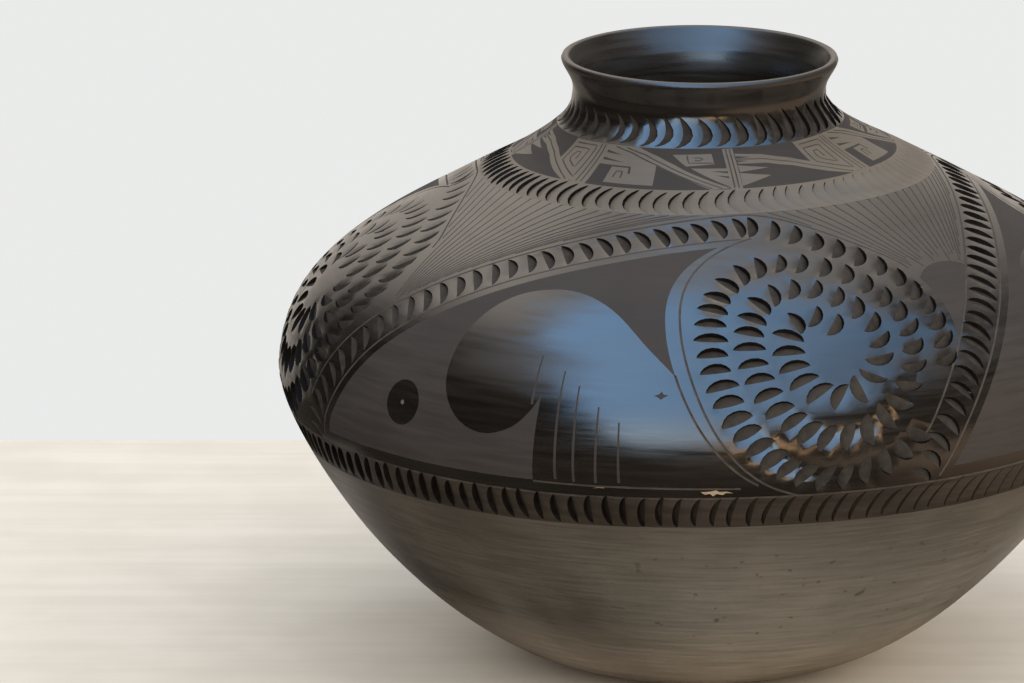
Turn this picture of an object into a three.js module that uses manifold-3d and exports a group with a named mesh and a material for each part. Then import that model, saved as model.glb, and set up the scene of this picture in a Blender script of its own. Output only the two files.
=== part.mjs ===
// Blackware olla: a wide, round-bellied jar with a short neck and a rolled lip.
// It is coil-built: a pressed base slab carries wall coils that are luted together on bevelled seams.
// Rows of gouge cuts are carved in the wall: flutes, two bands, and four arches that wind up as whorls.
// Millimetres, +Z up, origin at the centre of the flat resting face, widest carving panel towards -Y.

import * as THREE from 'three';
import { mergeVertices } from 'three/addons/utils/BufferGeometryUtils.js';
import Module from 'manifold-3d';

// Outer profile: stations of the wall from the resting face to the lip
const BASE_RADIUS = 48;
const BASE_RISE_ANGLE = 4;
const BASE_HANDLE = 52;
const BELLY_RADIUS = 163;
const BELLY_HEIGHT = 114;
const BELLY_HANDLE_BELOW = 23;
const BELLY_HANDLE_ABOVE = 41.5;
const SHOULDER_RADIUS = 100;
const SHOULDER_RISE = 69;
const SHOULDER_SLOPE = 33;
const SHOULDER_HANDLE_BELOW = 31;
const SHOULDER_HANDLE_ABOVE = 15;
const NECK_RADIUS = 48.2;
const NECK_RISE = 38;
const NECK_HANDLE = 19;
const LIP_FLARE = 3.5;
const LIP_RISE = 8.8;
const LIP_HANDLE = 4;

// Wall thickness at the floor, along the wall and at the lip
const FLOOR_THICKNESS = 8;
const WALL_THICKNESS = 5.2;
const LIP_THICKNESS = 4.6;

// Carved and painted zones, measured along the wall
const FLUTE_TOP_DROP = 2.8;
const FLUTE_HEIGHT = 12;
const COLLAR_WIDTH = 22.5;
const UPPER_BAND_HEIGHT = 13.4;
const BELLY_LINE_DROP = 10.8;
const BELLY_BAND_HEIGHT = 13.2;

// Coils: reach of the base slab, plain margin at a seam, and how many coils fill each stretch of wall
const SLAB_REACH = 40;
const SEAM_MARGIN = 2.4;
const LOWER_COILS = ['lower_coil', 'under_belly_coil'];
const MAIN_COILS = ['belly_coil', 'panel_coil', 'shoulder_coil'];

// Gouge cuts: length across and width along a row, depth, and the deepest point's distance behind the front
const GOUGE_LENGTH = 11.6;
const GOUGE_WIDTH = 4.6;
const FLUTE_CUT_WIDTH = 4.4;
const BAND_CUT_WIDTH = 3.4;
const CUT_DEPTH = 1.5;
const CUT_HEEL = 1.1;

// Clearances of a cut: plain margin inside a band, and how far the tool body stands off the wall
const CUT_MARGIN = 0.7;
const TOOL_RISE = 1.4;

// Rows of cuts round the jar: how many, and how far the tool leans from the line of the row, in degrees
const FLUTES = 48;
const FLUTE_LEAN = -14;
const UPPER_CUTS = 96;
const UPPER_LEAN = 184;
const BELLY_CUTS = 160;
const BELLY_LEAN = 174;

// Units of the carving, in degrees: turn of each about the jar, and how far they spread away from the front
const UNIT_TURNS = [0, 87.5, 180, 270];
const UNIT_SPREAD = 3.5;

// Arch and whorl of one unit: azimuths and leans in degrees, lengths along the wall
const CUT_PITCH = 7.5;
const ARCH_START = 5;
const ARCH_AZIMUTHS = [-62.5, -51, -28];
const ARCH_SPRING = 74;
const ARCH_CROWN = 7;
const ARCH_LEAN = 18;
const WHORL_AZIMUTH = 14;
const WHORL_RISE = 47.7;
const WHORL_RADIUS = 58;
const WHORL_STEP = 15;
const WHORL_SQUEEZE = 0.86;
const WHORL_TURNS = 3.25;
const WHORL_LEANS = [20, 22];
const ARCH_MARGIN = 8.2;

// Luted seams: run of the bevel across the wall, and the film of slip between two coils
const BEVEL_RUN = 3.5;
const SLIP_FILM = 0.3;

// Facets
const SEGMENTS = 40;
const ROW_LENGTH = 20;
const COLLAR_ROW_LENGTH = 12;
const NECK_ROW_LENGTH = 10;
const LIP_ROW_LENGTH = 5;
const INNER_ROW_LENGTH = 26;
const LIP_FACETS = 4;
const CURVE_SAMPLES = 160;
const ARCH_SAMPLES = 640;
const WHORL_SAMPLES = 2600;

const BURNISHED = { color: 0x1d1a18, roughness: 0.24, metalness: 0 };
const CARVED = { color: 0x2a2624, roughness: 0.38, metalness: 0 };
const SMOKED = { color: 0x4c473f, roughness: 0.42, metalness: 0 };

// Wall profile

const SHOULDER_HEIGHT = BELLY_HEIGHT + SHOULDER_RISE;
const NECK_HEIGHT = SHOULDER_HEIGHT + NECK_RISE;
const LIP_HEIGHT = NECK_HEIGHT + LIP_RISE;
const LIP_RADIUS = NECK_RADIUS + LIP_FLARE;
const radians = THREE.MathUtils.degToRad;

/** The outer wall as a path of four tangent curves in the (radius, height) plane. */
function outerPath() {
  const rise = radians(BASE_RISE_ANGLE);
  const slope = radians(SHOULDER_SLOPE);
  const path = new THREE.Path();
  path.moveTo(BASE_RADIUS, 0);
  path.bezierCurveTo(
    BASE_RADIUS + BASE_HANDLE * Math.cos(rise), BASE_HANDLE * Math.sin(rise),
    BELLY_RADIUS, BELLY_HEIGHT - BELLY_HANDLE_BELOW,
    BELLY_RADIUS, BELLY_HEIGHT);
  path.bezierCurveTo(
    BELLY_RADIUS, BELLY_HEIGHT + BELLY_HANDLE_ABOVE,
    SHOULDER_RADIUS + SHOULDER_HANDLE_BELOW * Math.cos(slope),
    SHOULDER_HEIGHT - SHOULDER_HANDLE_BELOW * Math.sin(slope),
    SHOULDER_RADIUS, SHOULDER_HEIGHT);
  path.bezierCurveTo(
    SHOULDER_RADIUS - SHOULDER_HANDLE_ABOVE * Math.cos(slope),
    SHOULDER_HEIGHT + SHOULDER_HANDLE_ABOVE * Math.sin(slope),
    NECK_RADIUS, NECK_HEIGHT - NECK_HANDLE,
    NECK_RADIUS, NECK_HEIGHT);
  path.bezierCurveTo(
    NECK_RADIUS, NECK_HEIGHT + LIP_HANDLE,
    LIP_RADIUS, LIP_HEIGHT - LIP_HANDLE,
    LIP_RADIUS, LIP_HEIGHT);
  return path;
}

const wall = outerPath();
wall.arcLengthDivisions = CURVE_SAMPLES * wall.curves.length;

const [baseSpan, , , lipSpan] = wall.curves.map((curve) => curve.getLength());
const WALL_LENGTH = wall.getLength();
const BELLY_STATION = baseSpan;
const NECK_STATION = WALL_LENGTH - lipSpan;

/** Wall thickness at a distance along the wall: a thick floor, an even wall and a thinner lip. */
function thicknessAt(distance) {
  const nearFloor = THREE.MathUtils.clamp(distance / SLAB_REACH, 0, 1);
  const nearLip = THREE.MathUtils.clamp((distance - NECK_STATION) / lipSpan, 0, 1);
  const lower = THREE.MathUtils.lerp(FLOOR_THICKNESS, WALL_THICKNESS, nearFloor);
  return THREE.MathUtils.lerp(lower, LIP_THICKNESS, nearLip);
}

/** Point on the outer face of the wall. */
function outerPoint(distance) {
  return wall.getPointAt(THREE.MathUtils.clamp(distance / WALL_LENGTH, 0, 1));
}

/** Outward unit normal of the wall. */
function wallNormal(distance) {
  const tangent = wall.getTangentAt(THREE.MathUtils.clamp(distance / WALL_LENGTH, 0, 1));
  return new THREE.Vector2(tangent.y, -tangent.x);
}

/** Point on the inner face of the wall, straight behind the outer point. */
function innerPoint(distance) {
  return outerPoint(distance).addScaledVector(wallNormal(distance), -thicknessAt(distance));
}

/** Evenly spaced distances from start to end, at most step apart. */
function steps(start, end, step) {
  const count = Math.max(1, Math.round(Math.abs(end - start) / step));
  return Array.from({ length: count + 1 }, (_, i) => THREE.MathUtils.lerp(start, end, i / count));
}

// Seams between the coils, from the base slab to the rim

const FLUTE_TOP = NECK_STATION - FLUTE_TOP_DROP;
const FLUTE_BOTTOM = FLUTE_TOP - FLUTE_HEIGHT;
const UPPER_BAND_TOP = FLUTE_BOTTOM - COLLAR_WIDTH;
const UPPER_BAND_BOTTOM = UPPER_BAND_TOP - UPPER_BAND_HEIGHT;
const BELLY_BAND_TOP = BELLY_STATION - BELLY_LINE_DROP;
const BELLY_BAND_BOTTOM = BELLY_BAND_TOP - BELLY_BAND_HEIGHT;

/** Coils of one stretch of wall, each as wide as the next. */
function equalCoils(names, start, end) {
  const width = (end - start) / names.length;
  return names.map((name, i) => (
    { name, start: start + i * width, end: start + (i + 1) * width, row: ROW_LENGTH }));
}

const RIM_SEAM = FLUTE_TOP + SEAM_MARGIN / 2;
const NECK_SEAM = FLUTE_BOTTOM - SEAM_MARGIN / 2;
const COLLAR_SEAM = UPPER_BAND_BOTTOM - SEAM_MARGIN;
const BELLY_SEAM = BELLY_BAND_BOTTOM - SEAM_MARGIN;
const COILS = [
  ...equalCoils(LOWER_COILS, SLAB_REACH, BELLY_SEAM),
  ...equalCoils(MAIN_COILS, BELLY_SEAM, COLLAR_SEAM),
  { name: 'collar_coil', start: COLLAR_SEAM, end: NECK_SEAM, row: COLLAR_ROW_LENGTH },
  { name: 'neck_coil', start: NECK_SEAM, end: RIM_SEAM, row: NECK_ROW_LENGTH },
];

// Sections: the bevel leads the inner face of every seam further up the wall than its outer face

const HALF_FILM = SLIP_FILM / 2;

/** Distances of the rows of facets on the outer face of a coil; the top of a gouged band ends a row. */
function outerRows({ start, end, row }) {
  const low = start + HALF_FILM;
  const high = end - HALF_FILM;
  const edge = [BELLY_BAND_TOP, UPPER_BAND_TOP].find((top) => top > low && top < high) ?? low;
  const band = edge > low ? steps(low, edge, row).slice(0, -1) : [];
  return [...band, ...steps(edge, high, row)];
}

/** Inner face of a coil from one seam to the next, falling. */
function innerFace(start, end) {
  return steps(end, start, INNER_ROW_LENGTH).map(innerPoint);
}

/** Closed section of a coil that is luted at both ends. */
function coilSection(coil) {
  const low = coil.start + HALF_FILM + BEVEL_RUN;
  const high = coil.end - HALF_FILM + BEVEL_RUN;
  return [...outerRows(coil).map(outerPoint), ...innerFace(low, high)];
}

/** Section of the base slab, from the resting face round to the floor inside. */
function slabSection() {
  const high = SLAB_REACH - HALF_FILM;
  const floor = innerFace(0, high + BEVEL_RUN);
  return [
    new THREE.Vector2(0, 0),
    ...steps(0, high, ROW_LENGTH).map(outerPoint),
    ...floor,
    new THREE.Vector2(0, floor[floor.length - 1].y),
  ];
}

/** Half-round top of the lip, from its outer to its inner edge. */
function lipRound() {
  const outer = outerPoint(WALL_LENGTH);
  const inner = innerPoint(WALL_LENGTH);
  const centre = outer.clone().add(inner).multiplyScalar(0.5);
  const spoke = outer.clone().sub(centre);
  return steps(0, LIP_FACETS, 1).map((i) => {
    const turned = spoke.clone().rotateAround(new THREE.Vector2(), Math.PI * i / LIP_FACETS);
    return turned.add(centre);
  });
}

/** Closed section of the rim coil: plain neck, flared lip and the throat inside. */
function rimSection() {
  const low = RIM_SEAM + HALF_FILM;
  const outside = steps(low, WALL_LENGTH, LIP_ROW_LENGTH).slice(0, -1).map(outerPoint);
  const inside = innerFace(low + BEVEL_RUN, WALL_LENGTH).slice(1);
  return [...outside, ...lipRound(), ...inside];
}

// Cuts: each is a three-sided pit with a straight back edge and its deepest point near the front

const FULL_CIRCLE = 360;
const FULL_TURN = radians(FULL_CIRCLE);
const FACET_ANGLE = FULL_TURN / SEGMENTS;
const WALL_ROWS = COILS.flatMap(outerRows);
const LAST_ROW = WALL_ROWS.length - 1;
const TETRAHEDRON_RADIUS = Math.sqrt(3);

/** Azimuth of the even layout, moved as the units spread away from the front. */
function spread(azimuth) {
  return azimuth + radians(UNIT_SPREAD) * Math.sin(azimuth - radians(WHORL_AZIMUTH));
}

/** Point on the facets of the wall. */
function facetPoint(azimuth, distance) {
  const above = WALL_ROWS.findIndex((row, i) => i > 0 && (row > distance || i === LAST_ROW));
  const [low, high] = [WALL_ROWS[above - 1], WALL_ROWS[above]];
  const flat = outerPoint(low).lerp(outerPoint(high), (distance - low) / (high - low));
  const offMiddle = THREE.MathUtils.euclideanModulo(azimuth, FACET_ANGLE) - FACET_ANGLE / 2;
  const radius = flat.x * Math.cos(FACET_ANGLE / 2) / Math.cos(offMiddle);
  return new THREE.Vector3(radius * Math.sin(azimuth), -radius * Math.cos(azimuth), flat.y);
}

/** Outward direction of the wall. */
function outward(azimuth, distance) {
  const flat = wallNormal(distance);
  return new THREE.Vector3(flat.x * Math.sin(azimuth), -flat.x * Math.cos(azimuth), flat.y);
}

/** Point of the facets at a place given forward and sideways of the middle of a cut. */
function besideCut({ azimuth, distance, heading }, forward, sideways) {
  const offset = new THREE.Vector2(forward, sideways).rotateAround(new THREE.Vector2(), heading);
  const radius = outerPoint(distance + offset.y / 2).x;
  return facetPoint(spread(azimuth + offset.x / radius), distance + offset.y);
}

/** Tool body of one cut: a tetrahedron stretched onto the deep point and three points above the rim. */
function cutGeometry(cut) {
  const front = cut.width / 2;
  const side = cut.length / 2;
  const rim = [[-front, side], [-front, -side], [front, 0]].map(([x, y]) => besideCut(cut, x, y));
  const normal = outward(spread(cut.azimuth), cut.distance);
  const deep = besideCut(cut, front - CUT_HEEL, 0).addScaledVector(normal, -CUT_DEPTH);
  const proud = (CUT_DEPTH + TOOL_RISE) / CUT_DEPTH;
  const [a, b, c] = rim.map((point) => point.sub(deep).multiplyScalar(proud).add(deep));
  const mix = (...signs) => [deep, a, b, c]
    .reduce((sum, point, i) => sum.addScaledVector(point, signs[i] / signs.length), new THREE.Vector3());
  const stretch = new THREE.Matrix4().makeBasis(mix(1, -1, -1, 1), mix(1, -1, 1, -1), mix(1, 1, -1, -1));
  stretch.setPosition(mix(1, 1, 1, 1));
  return new THREE.TetrahedronGeometry(TETRAHEDRON_RADIUS).applyMatrix4(stretch);
}

/** Cuts of an even row round the jar, the first half a step from the front. */
function bandCuts(count, distance, lean, length, width) {
  return Array.from({ length: count }, (_, i) => (
    { azimuth: FULL_TURN * (i + 0.5) / count, distance, heading: radians(lean), length, width }));
}

/** The arch of a unit, from the belly band to the top of its whorl, in the plane of azimuth and distance. */
function archCurve() {
  const crown = BELLY_STATION + WHORL_RISE + WHORL_RADIUS;
  const [foot, spring, shoulder] = ARCH_AZIMUTHS.map(radians);
  return new THREE.CubicBezierCurve(
    new THREE.Vector2(foot, BELLY_BAND_TOP),
    new THREE.Vector2(spring, BELLY_BAND_TOP + ARCH_SPRING),
    new THREE.Vector2(shoulder, crown + ARCH_CROWN),
    new THREE.Vector2(radians(WHORL_AZIMUTH), crown));
}

/** Point of the whorl after a number of turns from its top. */
function whorlPoint(turns) {
  const reach = WHORL_RADIUS - WHORL_STEP * turns;
  const distance = BELLY_STATION + WHORL_RISE + reach * Math.cos(FULL_TURN * turns);
  const sideways = WHORL_SQUEEZE * reach * Math.sin(FULL_TURN * turns);
  return new THREE.Vector2(radians(WHORL_AZIMUTH) + sideways / outerPoint(distance).x, distance);
}

/** Step between two points of the layout, in millimetres along and up the wall. */
function wallStep(from, to) {
  const radius = outerPoint((from.y + to.y) / 2).x;
  return new THREE.Vector2((to.x - from.x) * radius, to.y - from.y);
}

/** Evenly pitched places on a line of the layout, each with the bearing of the line there. */
function pitched(points, first) {
  const places = [];
  let wanted = first;
  for (let i = 1; i < points.length; i += 1) {
    const step = wallStep(points[i - 1], points[i]);
    wanted -= step.length();
    if (wanted <= 0) {
      places.push({ at: points[i], bearing: Math.atan2(step.y, step.x) });
      wanted += CUT_PITCH;
    }
  }
  return places;
}

/** Lean of the tool on the whorl: the hand holds it steadier than the line turns. */
function whorlLean(bearing) {
  const [twofold, onefold] = WHORL_LEANS.map(radians);
  return -twofold * Math.cos(2 * bearing) - onefold * Math.sin(bearing);
}

/** Cuts of one unit: the arch, and the whorl where it stays clear of the next arch. */
function unitCuts(turn, nextTurn) {
  const arch = archCurve().getPoints(ARCH_SAMPLES);
  const whorl = steps(0, WHORL_TURNS, WHORL_TURNS / WHORL_SAMPLES).map(whorlPoint);
  const shift = radians(nextTurn - turn);
  const nextArch = archCurve().getPoints(CURVE_SAMPLES).map((point) => point.setX(point.x + shift));
  const clear = ({ at }) => nextArch.every((point) => wallStep(at, point).length() > ARCH_MARGIN);
  const cut = ({ at, bearing }, lean) => ({
    azimuth: at.x + radians(turn),
    distance: at.y,
    heading: bearing + lean,
    length: GOUGE_LENGTH,
    width: GOUGE_WIDTH,
  });
  return [
    ...pitched(arch, ARCH_START).map((place) => cut(place, radians(ARCH_LEAN))),
    ...pitched(whorl, CUT_PITCH).filter(clear).map((place) => cut(place, whorlLean(place.bearing))),
  ];
}

const FLUTE_MIDDLE = (FLUTE_TOP + FLUTE_BOTTOM) / 2;
const UPPER_MIDDLE = (UPPER_BAND_TOP + UPPER_BAND_BOTTOM) / 2;
const BELLY_MIDDLE = (BELLY_BAND_TOP + BELLY_BAND_BOTTOM) / 2;
const UPPER_LENGTH = UPPER_BAND_HEIGHT - 2 * CUT_MARGIN;
const BELLY_LENGTH = BELLY_BAND_HEIGHT - 2 * CUT_MARGIN;
const CUTS = [
  ...bandCuts(FLUTES, FLUTE_MIDDLE, FLUTE_LEAN, FLUTE_HEIGHT, FLUTE_CUT_WIDTH),
  ...bandCuts(UPPER_CUTS, UPPER_MIDDLE, UPPER_LEAN, UPPER_LENGTH, BAND_CUT_WIDTH),
  ...bandCuts(BELLY_CUTS, BELLY_MIDDLE, BELLY_LEAN, BELLY_LENGTH, BAND_CUT_WIDTH),
  ...UNIT_TURNS.flatMap((turn, i) => unitCuts(turn, UNIT_TURNS[i + 1] ?? UNIT_TURNS[0] + FULL_CIRCLE)),
];

// Carving

const wasm = await Module();
wasm.setup();

/** Solid of a closed geometry. */
function solid(geometry) {
  const bare = geometry.clone();
  bare.deleteAttribute('normal');
  bare.deleteAttribute('uv');
  const joined = mergeVertices(bare);
  return new wasm.Manifold(new wasm.Mesh({
    numProp: 3,
    vertProperties: Float32Array.from(joined.attributes.position.array),
    triVerts: Uint32Array.from(joined.index.array),
  }));
}

/** Geometry of a solid. */
function geometryOf(body) {
  const mesh = body.getMesh();
  const geometry = new THREE.BufferGeometry();
  geometry.setAttribute('position', new THREE.BufferAttribute(mesh.vertProperties, mesh.numProp));
  geometry.setIndex(new THREE.BufferAttribute(mesh.triVerts, 1));
  return geometry;
}

/** Takes the cuts that reach a stretch of wall out of its coil. */
function carved(geometry, { start, end }) {
  const reaches = ({ distance, length }) => distance > start - length && distance < end + length;
  const touching = CUTS.filter(reaches);
  if (touching.length === 0) {
    return geometry;
  }
  const tools = touching.map((cut) => solid(cutGeometry(cut))).reduce((all, tool) => all.add(tool));
  return geometryOf(solid(geometry).subtract(tools));
}

// Assembly

/** Revolves a section about the axis of the jar; a section off the axis is closed on itself. */
function revolve(section) {
  const onAxis = section[0].x === 0;
  const profile = onAxis ? section : [...section, section[0].clone()];
  const geometry = new THREE.LatheGeometry(profile, SEGMENTS);
  return geometry.rotateX(Math.PI / 2);
}

/** One fired clay piece with its own material. */
function piece(name, geometry, look) {
  const mesh = new THREE.Mesh(geometry, new THREE.MeshStandardMaterial(look));
  mesh.name = name;
  return mesh;
}

const olla = new THREE.Group();
olla.name = 'olla';
olla.add(piece('base_slab', revolve(slabSection()), SMOKED));
for (const coil of COILS) {
  const look = coil.end <= BELLY_SEAM ? SMOKED : CARVED;
  olla.add(piece(coil.name, carved(revolve(coilSection(coil)), coil), look));
}
olla.add(piece('rim_coil', revolve(rimSection()), BURNISHED));

export default olla;
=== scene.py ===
"""Blackware olla: a coil-built black jar with gouge-carved whorls, arch bands and painted panels.

Lengths in the layout are millimetres along the outer wall, measured from the edge of the resting face, and
azimuths are degrees from the front of the jar, positive to the right. Meshes are made in metres.
"""

import logging
import math
import random
from collections.abc import Callable, Iterable
from dataclasses import dataclass, field
from enum import IntEnum

import bpy
import numpy as np
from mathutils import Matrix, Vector, kdtree
from mathutils.geometry import delaunay_2d_cdt


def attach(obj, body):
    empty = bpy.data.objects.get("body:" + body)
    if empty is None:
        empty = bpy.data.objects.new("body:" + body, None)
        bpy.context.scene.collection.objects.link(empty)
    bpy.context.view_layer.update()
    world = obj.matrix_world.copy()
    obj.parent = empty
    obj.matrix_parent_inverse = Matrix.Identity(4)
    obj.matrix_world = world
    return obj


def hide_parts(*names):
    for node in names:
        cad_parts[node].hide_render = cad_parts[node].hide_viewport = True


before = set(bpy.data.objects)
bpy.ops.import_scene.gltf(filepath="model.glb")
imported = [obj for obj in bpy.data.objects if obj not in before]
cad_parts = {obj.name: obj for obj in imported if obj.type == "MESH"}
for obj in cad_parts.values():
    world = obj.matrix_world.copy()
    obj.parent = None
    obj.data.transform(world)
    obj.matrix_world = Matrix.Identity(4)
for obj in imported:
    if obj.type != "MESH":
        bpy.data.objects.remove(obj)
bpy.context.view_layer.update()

LOG = logging.getLogger("olla")
MM = 0.001
TURN = 2 * math.pi
UNITS = 4
EDGE_STEP = 2.6
TINY = 1e-9
NO_AREA = 1e-12

Colour = tuple[float, float, float]
Triple = tuple[float, float, float]
Spot = tuple[float, float]
Socket = bpy.types.NodeSocket
Value = Socket | float | tuple[float, ...]
Test = Callable[[np.ndarray, np.ndarray], np.ndarray]


class Finish(IntEnum):
    """Surface finishes of the clay, some of them painted shade or sheen, in the order of the material slots.
    """

    SMOKED = 0
    BURNISHED = 1
    MATTE = 2
    CUT = 3
    LINE = 4
    CHIP = 5
    INSIDE = 6
    # Near-black tone of the steep cut walls: painted shadow under the cut's edge.
    EDGE = 7
    # Pale brown diffuse tone in place of the reflection on burnished black figures: painted sheen.
    SATIN = 8
    BELT = 9
    # Darker tone on the belly-band cut floors: painted shade in the deep slits.
    SLIT = 10


class Ground(IntEnum):
    """Smoothing groups: faces of one group share their shading at a vertex."""

    SKIN = 0
    CUT_WALL = 1
    CUT_FLOOR = 2
    GROOVE = 3
    SEAM = 4
    INNER = 5


def bezier(points: Iterable[Spot], count: int) -> np.ndarray:
    """Samples a cubic curve.

    Args:
        points: four control points.
        count: number of samples.

    Returns:
        An array of count rows of two coordinates.
    """
    p = np.array(list(points), dtype=float)
    t = np.linspace(0, 1, count)[:, None]
    return (1 - t) ** 3 * p[0] + 3 * t * (1 - t) ** 2 * p[1] + 3 * t**2 * (1 - t) * p[2] + t**3 * p[3]


def rounded(points: Iterable[Spot], count: int = 5) -> np.ndarray:
    """Draws a smooth curve through points.

    Args:
        points: points that the curve passes.
        count: number of steps from each point to the next.

    Returns:
        Rows of two coordinates, from the first point to the last.
    """
    p = np.array(list(points), dtype=float)
    p = np.vstack((2 * p[0] - p[1], p, 2 * p[-1] - p[-2]))
    t = np.linspace(0, 1, count, endpoint=False)[:, None]
    spans = [
        b + 0.5 * t * (c - a + t * (2 * a - 5 * b + 4 * c - d + t * (3 * (b - c) + d - a)))
        for a, b, c, d in zip(p, p[1:], p[2:], p[3:])
    ]
    return np.vstack((*spans, p[-2:-1]))


def eased(x: float, knots: Iterable[Spot]) -> float:
    """Runs smoothly from knot to knot.

    Args:
        x: place between the knots.
        knots: places and the values there.

    Returns:
        The value at the place.
    """
    at, value = np.array(list(knots)).T
    i = min(max(int(np.searchsorted(at, x)), 1), len(at) - 1)
    t = min(max((x - at[i - 1]) / (at[i] - at[i - 1]), 0.0), 1.0)
    return float(value[i - 1] + (value[i] - value[i - 1]) * t * t * (3 - 2 * t))


def wrap(angle: np.ndarray | float) -> np.ndarray | float:
    """Returns an angle in radians brought into the range from -pi to pi."""
    return (angle + math.pi) % TURN - math.pi


def inside(polygon: np.ndarray, points: np.ndarray) -> np.ndarray:
    """Tests which points lie in a polygon.

    Args:
        polygon: corner rows.
        points: point rows.

    Returns:
        One truth value per point.
    """
    hit = np.zeros(len(points), dtype=bool)
    x, y = points[:, 0], points[:, 1]
    for (x0, y0), (x1, y1) in zip(polygon, np.roll(polygon, -1, axis=0)):
        if y0 != y1:
            crosses = (y0 > y) != (y1 > y)
            hit ^= crosses & (x < x0 + (y - y0) * (x1 - x0) / (y1 - y0))
    return hit


def search_tree(points: np.ndarray) -> kdtree.KDTree:
    """Sorts points for finding those near a place.

    Args:
        points: rows of three coordinates.

    Returns:
        The search tree, with the row numbers in it.
    """
    tree = kdtree.KDTree(len(points))
    for i, point in enumerate(points):
        tree.insert(point, i)
    tree.balance()
    return tree


def shade(tris: np.ndarray, points: np.ndarray, grounds: np.ndarray) -> np.ndarray:
    """Averages face normals at each vertex within each smoothing group.

    Args:
        tris: rows of three vertex numbers.
        points: vertex positions.
        grounds: smoothing group of each triangle.

    Returns:
        One unit normal per triangle corner.
    """
    a, b, c = (points[tris[:, i]] for i in range(3))
    face = np.cross(b - a, c - a)
    keys = tris * len(Ground) + grounds[:, None]
    total = np.zeros((len(points) * len(Ground), 3))
    for i in range(3):
        np.add.at(total, keys[:, i], face)
    total /= np.maximum(np.linalg.norm(total, axis=1), NO_AREA)[:, None]
    return total[keys]


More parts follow.
